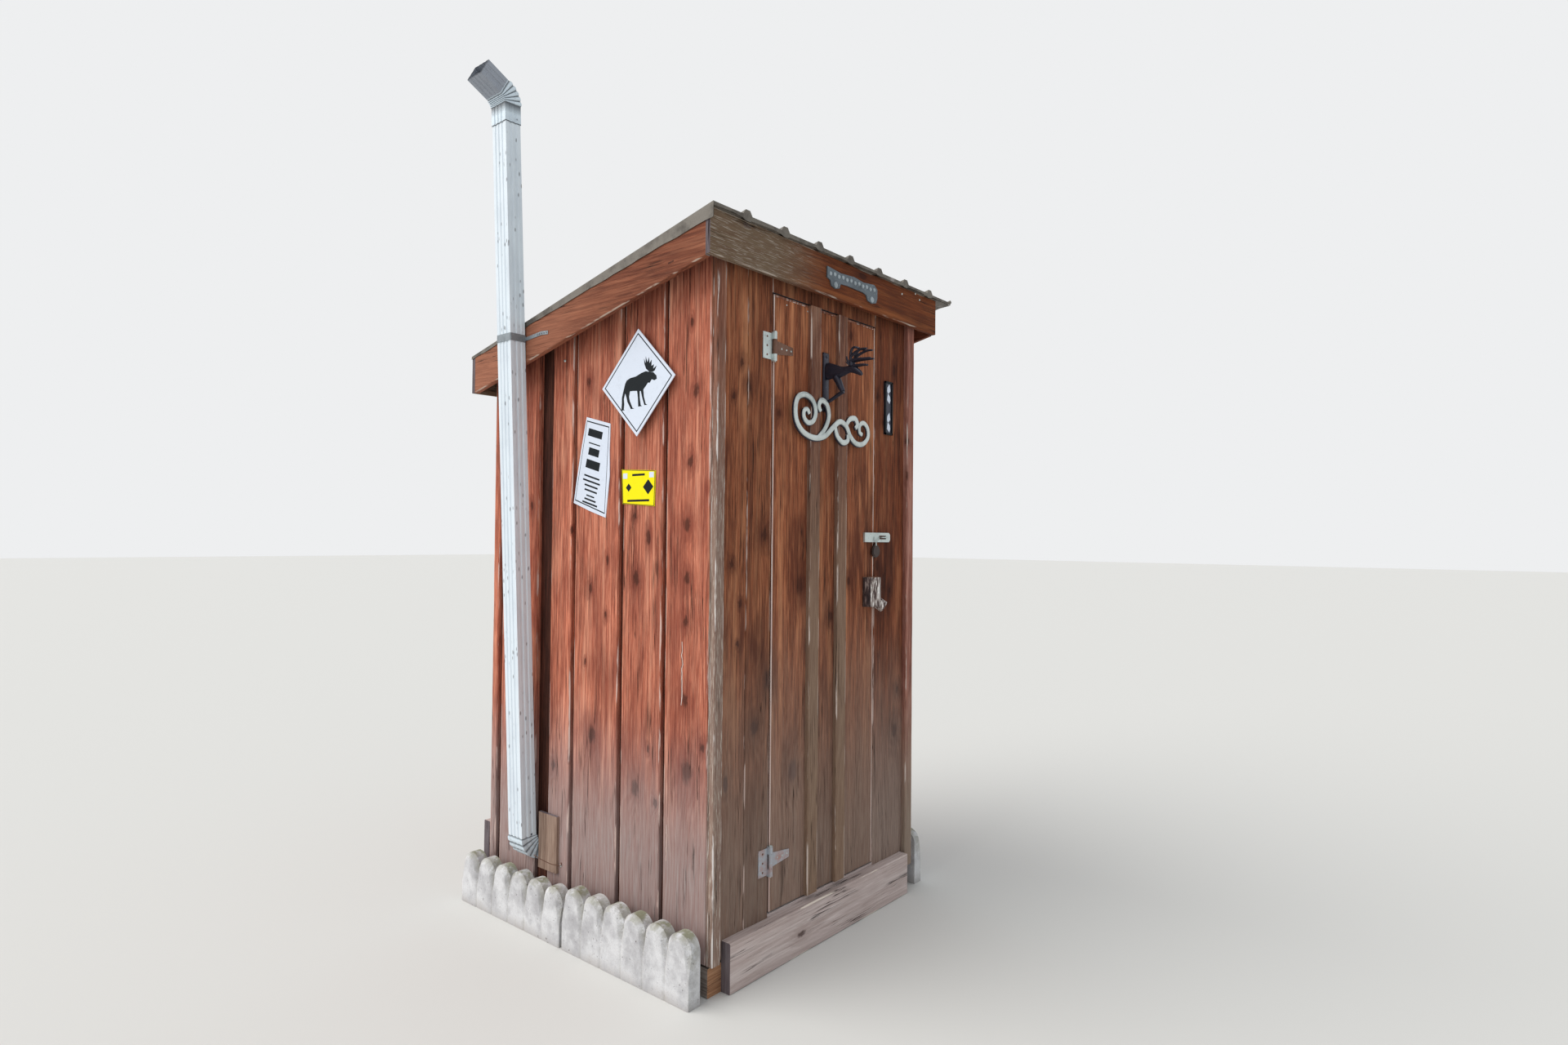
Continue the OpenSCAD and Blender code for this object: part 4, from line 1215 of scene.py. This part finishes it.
def coat_hook():
    """Leaping stag in dark iron that stands out from its back plate."""
    shape = Shape()
    width, depth, height = HOOK_PLATE
    half = width / 2
    edge = 3
    for ring, (inset, out) in enumerate(((0, 0), (0, depth - edge), (edge, depth))):
        a, top = half - inset, height - inset
        points = hook_places((out, inset, -a), (out, inset, a), (out, top, a), (out, top, -a))
        shape.add(points, [(0, 1, 2, 3)] if ring != 1 else [])
        if ring:
            shape.join(len(shape.points) - 8, grid(2, 4, True))
    loft(shape, [(5, 144, 30, 12), (18, 143, 31, 13.5), (34, 141, 27, 13.5), (52, 138, 23, 12.5),
                 (68, 135, 20, 11.5), (84, 136, 16.5, 10.5), (98, 139, 13.5, 9.5), (110, 141, 13.5, 9),
                 (122, 140, 14.5, 9), (134, 133, 12, 8), (146, 126, 9.5, 6.5), (154, 120, 8, 6),
                 (160, 116, 4.5, 4)])
    tube(shape, hook_places((50, 118), (62, 98), (72, 78), (79, 66)), (14, 8.5))
    tube(shape, hook_places((82, 66), (62, 57), (40, 46), (14, 34), (4, 30)), (7.5, 5.5))
    for side in (-1, 1):
        for radii, line in ANTLER_BEAMS:
            beam = [(reach, rise, side * (5 + 0.25 * (rise - 150))) for reach, rise in line]
            tube(shape, hook_places(*beam), radii)
        ear = hook_places((114, 152, side * 6), (106, 160, side * 12), (102, 164, side * 15))
        tube(shape, ear, (4, 2))
    studs(shape, hook_places((depth, 16), (depth, height - 14)), OUT, 5, 2.5)
    shape.make("stag_hook", "door", [IRON], ["coat_hook"], 50)


coat_hook()

# Where the log's bark begins and ends round its axis
LOG_FROM, LOG_TO = math.radians(-10.7), math.radians(190.7)


def log_handle():
    """Short split log with its bark side out, and the sawn stub of a branch low on its right."""
    low, high = box_mm("handle_block")
    radius, off = 43, 8
    axis_x = low.x + radius
    bottom = high.z - 112
    wall_clear = 5.3
    door_edge = box_mm("door_boards")[1].x
    rows, sides = 12, 26
    # Faces from here round the log's left side take the darker bark: painted shade
    shade_from = 19
    shape = Shape()
    points = []
    for k in range(rows):
        for i in range(sides):
            ragged = 5 * abs(noise(Vector((i / 2.3, 0.7, 2.2))))
            z = lerp(bottom + ragged, high.z - ragged * 0.8, k / (rows - 1))
            a = lerp(LOG_FROM, LOG_TO, i / (sides - 1))
            ridge = 2.6 * noise(Vector((i / 2.1, z / 45, 5.5)))
            furrow = 4.0 * max(noise(Vector((i / 1.4, z / 80, 9.1))), 0)
            r = radius - 2.6 + (ridge - furrow)
            x = axis_x + r * math.cos(a)
            y = -off - r * math.sin(a)
            y = min(y, 0.0 if x < door_edge else -wall_clear)
            points.append(at(x, y, z))
    shape.add(points, [])
    for k in range(rows - 1):
        for i in range(sides - 1):
            shape.join(k * sides + i, [(0, 1, sides + 1, sides)], 2 if i >= shade_from else 0)
    shape.add(points[:sides], [list(range(sides))], 1)
    shape.add(points[-sides:], [list(range(sides))], 1)
    back = [points[k * sides + i] for k in range(rows) for i in (0, sides - 1)]
    shape.add(back, grid(rows, 2))

    root = at(axis_x, -off, bottom + 32)
    turn, tilt = math.radians(42), math.radians(122)
    lean = Vector((math.cos(turn), -math.sin(turn), 0)) * math.sin(tilt)
    lean.z = math.cos(tilt)
    path = [root + lean * (0.062 * t) for t in (0.35, 0.6, 0.8, 1.0)]
    side = lean.orthogonal().normalized()
    sweep(shape, path, round_section(20, 16), side, lambda t: lerp(1.15, 1.08, t))
    tip = path[-1]
    other = lean.cross(side)
    rim = Shape()
    ring = []
    for r in (21.8, 14.0, 0.5):
        ring += [tip + lean * 0.0004 + (side * c + other * s) * (r / 1000) for c, s in circle(16)]
    rim.add(ring[:32], grid(2, 16, True), 0)
    rim.add(ring[16:], grid(2, 16, True), 1)
    shape.make("log_handle", "door", [LOG, LOG_END, SHADED_LOG], ["handle_block"], 45)
    rim.make("branch_end", "door", [WORN_PAINT, DARK_END])


log_handle()


def door_pull():
    """Dark drop-shaped pull that hangs from the hasp on a wire."""
    outline = [(879, 1378), (892, 1372), (904, 1363), (912, 1350), (910, 1337), (900, 1327),
               (885, 1322), (870, 1326), (861, 1335), (859, 1344), (862, 1356), (869, 1368)]
    shape = Shape()
    sheet_of(shape, outline, off_front(-5.8), 4.5)
    sheet_of(shape, shrunk(outline, 0.8), off_front(-9.8), 2.2)
    shape.make("door_pull", "door", [PULL], sharp=30)
    wire = Shape()
    for top_x, low_x in ((874, 880), (903, 884)):
        path = [(top_x, -9, 1402), (top_x, -11.5, 1392), (low_x, -12.5, 1380), (low_x, -12.5, 1368)]
        tube(wire, [at(*p) for p in path], (1.4, 1.4))
    wire.make("door_pull_wire", "door", [STEEL])


door_pull()

# Pipe, in its own leaning frame as in the part's source

# How far the roof's side edge stands out, which the leaning pipe just clears
SIDE_OUT = 87
PIPE_BACK, PIPE_Y, PIPE_Z, PIPE_TOP = 15, 897, 310, 2865
PIPE_W, PIPE_D, PIPE_T = 83, 60, 1.5
ELBOW_R = 28
COLLAR_H, COLLAR_GAP = 65, 1.8
SPOUT_LEN = 92
TOP_BEND, BOTTOM_BEND = 60, 85
PLEATS = 5
FLUTE_D = 2.5
RAKE_LOW_Z = deck_top(PIPE_Y + PIPE_W / 2) - SEAT - RAKE_H
PIPE_LEAN = math.atan((SIDE_OUT + SEAT - PIPE_BACK) / (RAKE_LOW_Z - PIPE_Z))
PIPE_LEN = (PIPE_TOP - PIPE_Z) / math.cos(PIPE_LEAN)
# A pleat from one fold to the next: share of its length, how far it stands out and how dark the painted
# shade in its fold is
PLEAT = ((0.0, 0.0, 1.0), (0.13, 1.3, 0.55), (0.26, 2.5, 0.0), (0.5, 3.0, 0.0), (0.74, 2.5, 0.0),
         (0.90, 1.2, 0.55))


def on_pipe(x, y, z):
    """A point of the pipe's own frame, whose Z runs up the pipe from its lower end."""
    c, s = math.cos(PIPE_LEAN), math.sin(PIPE_LEAN)
    return at(x * c - z * s - PIPE_BACK, PIPE_Y + y, PIPE_Z + x * s + z * c)


def fluted_side(length, flutes, margin, depth):
    line = [(-length / 2 - margin, 0.0)]
    for i in range(1, flutes + 1):
        c = i * length / (flutes + 1) - length / 2
        line += [(c - 6, 0.0), (c - 3.5, depth), (c + 3.5, depth), (c + 6, 0.0)]
    return line


def pipe_outline(margin, depth):
    wide = fluted_side(PIPE_W, 3, margin, depth)
    narrow = fluted_side(PIPE_D, 2, margin, depth)
    near = [(margin - d, p) for p, d in wide]
    far = [(-PIPE_D - margin + d, -p) for p, d in wide]
    back = [(-PIPE_D / 2 - p, PIPE_W / 2 + margin - d) for p, d in narrow]
    front = [(-PIPE_D / 2 + p, -PIPE_W / 2 - margin + d) for p, d in narrow]
    return near + back + far + front


def bend_place(turn, z):
    reach = PIPE_D + ELBOW_R
    return reach * (math.cos(turn) - 1), z + reach * math.sin(turn)


def bend_stations(bend, z):
    """Stations round a bend: turn, place, how far the pleat stands out, painted shade in the fold and flute
    depth.
    """
    stations = []
    for i in range(PLEATS):
        for share, out, dirt_and_shade in PLEAT:
            turn = math.radians(bend * (i + share) / PLEATS)
            stations.append((turn, bend_place(turn, z), out, dirt_and_shade, FLUTE_D * 0.35))
    turn = math.radians(bend)
    return stations + [(turn, bend_place(turn, z), 0.0, 1.0, FLUTE_D * 0.6)]


def elbow_skin(shape, stations, margin, place, slots):
    """Outer and inner skin through the stations, closed at both ends."""
    side = len(pipe_outline(0, 0))
    points = []
    rims = []
    for inward in (0.0, PIPE_T):
        # The rim value carries the painted shade of the folds and edges
        for turn, spot, out, dirt_and_shade, flute in stations:
            for x, y in pipe_outline(margin + out - inward, flute):
                points.append(place(spot[0] + x * math.cos(turn), y, spot[1] + x * math.sin(turn)))
                rims.append(dirt_and_shade)
    first = len(shape.points)
    shape.add(points, [], 0, 0.5, rims)
    count = len(stations)
    inner = side * count

    def wall(a, b, slot):
        for j in range(side):
            after = (j + 1) % side
            shape.join(first, [(a + j, a + after, b + after, b + j)], slot)

    for k in range(count - 1):
        wall(k * side, (k + 1) * side, slots[k])
        wall(inner + k * side, inner + (k + 1) * side, slots[k])
    wall(0, inner, slots[0])
    wall(side * (count - 1), inner + side * (count - 1), slots[-1])


def top_elbow():
    """Collar with painted shade on its lower edge, pleated bend with painted shade in its folds, and plain
    spout painted darker as shade, with painted shade round its mouth.
    """
    bend = math.radians(TOP_BEND)
    end = bend_place(bend, COLLAR_H)
    mouth = (end[0] - SPOUT_LEN * math.sin(bend), end[1] + SPOUT_LEN * math.cos(bend))
    # The collar's lower edge and the spout's mouth get painted shade through these values
    collar = [(0.0, (0.0, z), 0.0, dirt_and_shade, FLUTE_D)
              for z, dirt_and_shade in ((0.0, 1.0), (1.5, 1.0), (4.0, 0.1), (30.0, 0.0))]
    spout = [(bend, (lerp(end[0], mouth[0], t), lerp(end[1], mouth[1], t)), 0.0, dirt_and_shade, FLUTE_D * 0.8)
             for t, dirt_and_shade in ((0.06, 0.0), (0.5, 0.0), (0.97, 0.0), (1.0, 0.8))]
    stations = collar + bend_stations(TOP_BEND, COLLAR_H) + spout
    # The spout's faces take the darker metal: painted shade
    slots = [0] * (len(stations) - len(spout)) + [1] * (len(spout))
    shape = Shape()
    elbow_skin(shape, stations, COLLAR_GAP, lambda x, y, z: on_pipe(x, y, PIPE_LEN + z), slots)
    face_y = -PIPE_W / 2 - COLLAR_GAP
    studs(shape, [on_pipe(-14, face_y, PIPE_LEN + 16)], OUT, 3.2, 1.2, 1)
    shape.make("top_elbow_skin", "hut", [ELBOW, SHADED_SPOUT], ["top_elbow"], 24)


def bottom_elbow():
    """Pleated bend that turns the pipe's lower end into the wall."""
    def place(x, y, z):
        p = on_pipe(-PIPE_D - x, y, -SEAT - z)
        return Vector((min(p.x, HOME.x - 0.0004), p.y, p.z))

    stations = bend_stations(BOTTOM_BEND, 0)
    shape = Shape()
    elbow_skin(shape, stations, 0.0, place, [0] * len(stations))
    studs(shape, [at(-34, PIPE_Y - PIPE_W / 2 + 2.3, 315)], OUT, 3.4, 3, 1)
    shape.make("bottom_elbow_skin", "hut", [ELBOW, IRON], ["bottom_elbow"], 24)


def pipe_strap():
    """Perforated band round the pipe, with a short foot behind it and a long one on the fascia in front."""
    low, high = box_mm("pipe_strap")
    wall_x = high.x - 0.6
    near_y, far_y = PIPE_Y - PIPE_W / 2 - 0.9, PIPE_Y + PIPE_W / 2 + 0.9
    foot_y = 724
    drop = 9
    middle = (low.z + high.z) / 2
    half = (high.z - low.z) / 2 - 1
    route = [(wall_x, far_y + 21, 0), (wall_x, far_y + 2, 0), (wall_x - 1.5, far_y + 0.5, 0),
             (low.x + 3, far_y, 0), (low.x + 1, far_y - 2, 0), (low.x + 1, near_y + 2, 0),
             (low.x + 3, near_y, 0), (wall_x - 3, near_y, 0)]
    shape = Shape()
    band = [(-0.6, -half), (0.6, -half), (0.6, half), (-0.6, half)]
    sweep(shape, [at(x, y, middle + rise) for x, y, rise in route], band, UP)
    tail = [at(wall_x - 3, near_y + 0.5, middle), at(wall_x - 0.6, near_y - 12, middle + 1),
            at(wall_x - 0.2, foot_y + 40, middle + drop), at(wall_x - 0.2, foot_y, middle + drop * 0.7)]
    slim = [(-0.6, -half * 0.5), (0.6, -half * 0.5), (0.6, half * 0.5), (-0.6, half * 0.5)]
    sweep(shape, tail, slim, UP)
    # The band's holes are dark discs: painted shade of the holes
    holes = [at(wall_x - 0.6, foot_y + 8 + 14 * i, middle + drop * 0.8) for i in range(4)]
    studs(shape, holes, LEFT, 3, 0.5, 1)
    studs(shape, [at(wall_x - 0.6, foot_y + 62, middle + drop)], LEFT, 5, 3)
    shape.make("strap_band", "hut", [STRAP, IRON], ["pipe_strap"], 30)


top_elbow()
bottom_elbow()
pipe_strap()


def wall_cracks():
    """Two splits in the left wall's boards, pale where the wood has torn, each with a dark strip beside it
    as painted shade in the gap.
    """
    pale = Shape()
    dark = Shape()
    for y, z0, z1 in ((124, 1066, 867), (186, 484, 369)):
        path = [at(-0.1, y + 4 * noise(Vector((y, z1 + t * 2.1, 0.4))), lerp(z0, z1, t / 14))
                for t in range(15)]

        def slim(t):
            return 0.25 + 0.75 * math.sin(math.pi * t) ** 0.6

        sweep(pale, path, flat_section(3.2, 0.5, 0.2), LEFT, slim)
        beside = [p + Vector((-0.0002, 0.0016, 0)) for p in path]
        # The dark strip is painted shade in the split
        sweep(dark, beside, flat_section(1.1, 0.6, 0.2), LEFT, slim)
    pale.make("split_edges", "hut", [WORN_PAINT])
    dark.make("split_gap_shade", "hut", [GROOVE_STAIN_AND_SHADE])


wall_cracks()


# Short slot in the left rake board, low beside the front corner, drawn as a thin dark plate: painted shade
# of its inside
SLOT = bar(101, 2234, 25, 5, math.radians(-9))
SLOT_T = 0.6
plate("rake_slot", GROOVE_STAIN_AND_SHADE, SLOT, off_wall(SIDE_OUT - SLOT_T), SLOT_T)


def nails():
    """Nail and screw heads, and the thin wire tied from the lower elbow to a nail."""
    heads = Shape()
    studs(heads, [at(0.4, 743, 2024), at(0.4, 1157, 1941), at(0.4, 729, 223)], LEFT, 5, 3)
    y = box_mm("front_fascia")[0].y + 0.4
    studs(heads, [at(970, y, 2342), at(1069, y, 2365), at(1101, y, 2347)], OUT, 4, 1.6)
    heads.make("nail_heads", "hut", [STEEL])

    door_heads = Shape()
    studs(door_heads, [at(350, 0.4, 2178), at(464, 0.4, 2180), at(530, 0.4, 2131)], OUT, 3, 1.2)
    for name in ("upper", "lower"):
        low, high = box_mm(name + "_hinge_strap")
        studs(door_heads, [at(low.x + share * (high.x - low.x), high.y - 2.5, (low.z + high.z) / 2)
                           for share in (0.45, 0.68, 0.90)], OUT, 3.2, 1.3)
    door_heads.make("door_nail_heads", "door", [STEEL])

    plate_heads = Shape()
    for name in ("upper", "lower"):
        low, high = box_mm(name + "_hinge_plate")
        heights = (low.z + 18, (low.z + high.z) / 2, high.z - 18)
        studs(plate_heads, [at(low.x + 20, high.y - 2.5, z) for z in heights], OUT, 3.6, 1.4)
    plate_heads.make("hinge_plate_heads", "hut", [RUST])

    wire = Shape()
    path = [(-62, 800, 262), (-48, 780, 248), (-26, 752, 232), (-14, 738, 228), (-2.5, 729, 224),
            (-3, 722, 231), (-1.5, 726, 236)]
    tube(wire, [at(*p) for p in path], (1.5, 1.5))
    wire.make("elbow_wire", "hut", [RUST])


nails()

# Frame nodes that stay, with their finishes

FINISHES = {
    "floor_frame": RAW_Y, "floor_boards": RAW_Y, "corner_posts": RAW, "left_jamb": RAW,
    "right_jamb": RAW, "wall_girts": RAW_Y, "top_plates": RAW_X, "rafters": RAW_Y, "roof_deck": RAW_Y,
    "door_sill": GREY_X,
    "vent_pipe": PIPE,
    "upper_hinge_plate": STEEL, "lower_hinge_plate": DULL, "hinge_pins": STEEL, "hasp_staple": STEEL,
    "door_ledges": RAW_X, "upper_hinge_strap": RUST, "lower_hinge_strap": DULL,
    "hasp": STEEL,
}
for node_name, finish in FINISHES.items():
    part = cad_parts[node_name]
    part.data.materials.clear()
    part.data.materials.append(finish)

# Stage, light and camera

# Metres from the middle to the floor's edge, and where the key light comes from
FLOOR_REACH = 60
KEY_FROM = Vector((-0.62, 0.42, 0.72))


def stage():
    mesh = bpy.data.meshes.new("floor")
    r = FLOOR_REACH
    mesh.from_pydata([(-r, -r, 0), (r, -r, 0), (r, r, 0), (-r, r, 0)], [], [(0, 1, 2, 3)])
    m = Material("floor_pale")
    mesh.materials.append(m.finish("d6d5d2", 0.9))
    floor = bpy.data.objects.new("floor", mesh)
    floor.location.z = -0.0005
    bpy.context.scene.collection.objects.link(floor)
    floor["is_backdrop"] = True

    world = bpy.data.worlds.new("studio")
    world.use_nodes = True
    w = Nodes(world.node_tree)
    w.tree.nodes.clear()
    rays = w.node("LightPath").outputs
    seen = w.math("MAXIMUM", rays["Is Camera Ray"], rays["Is Glossy Ray"])
    seen = w.math("MAXIMUM", seen, rays["Is Transmission Ray"])
    light = w.node("Background", {"Color": (0.93, 0.97, 1.0, 1), "Strength": 0.68}).outputs[0]
    backdrop = w.node("Background", {"Color": "eeeff0"}).outputs[0]
    mix = w.node("MixShader", {0: seen, 1: light, 2: backdrop}).outputs[0]
    w.node("OutputWorld", {0: mix})
    bpy.context.scene.world = world

    lamp = bpy.data.lights.new("key", "SUN")
    lamp.energy = 2.2
    lamp.angle = math.radians(60)
    lamp.color = (1.0, 0.97, 0.93)
    key = bpy.data.objects.new("key", lamp)
    key.rotation_mode = "QUATERNION"
    key.rotation_quaternion = KEY_FROM.to_track_quat("Z", "Y")
    bpy.context.scene.collection.objects.link(key)


stage()


# Camera as solved from corners in the photo: turn, tilt and roll in degrees, lens and sensor, and place
CAMERA_TURN = (50.44, 1.103, 0.504)
LENS, SENSOR = 20.145, 36
CAMERA_PLACE = (-1919.6, -1870.7, 1388.5)


def camera():
    yaw, pitch, roll = (math.radians(a) for a in CAMERA_TURN)
    forward = Vector((math.sin(yaw) * math.cos(pitch), math.cos(yaw) * math.cos(pitch), math.sin(pitch)))
    level = Vector((math.cos(yaw), -math.sin(yaw), 0))
    rise = level.cross(forward)
    right = math.cos(roll) * level + math.sin(roll) * rise
    up = -math.sin(roll) * level + math.cos(roll) * rise
    data = bpy.data.cameras.new("camera")
    data.sensor_width = SENSOR
    data.lens = LENS
    view = bpy.data.objects.new("camera", data)
    turn = Matrix((right, up, -forward)).transposed()
    view.matrix_world = Matrix.Translation(at(*CAMERA_PLACE)) @ turn.to_4x4()
    bpy.context.scene.collection.objects.link(view)
    bpy.context.scene.camera = view


camera()
bpy.context.scene.view_settings.view_transform = "Standard"

boxes = {"cad": cad_box, "visual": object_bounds()}
{key: [list(low), list(high)] for key, (low, high) in boxes.items()}
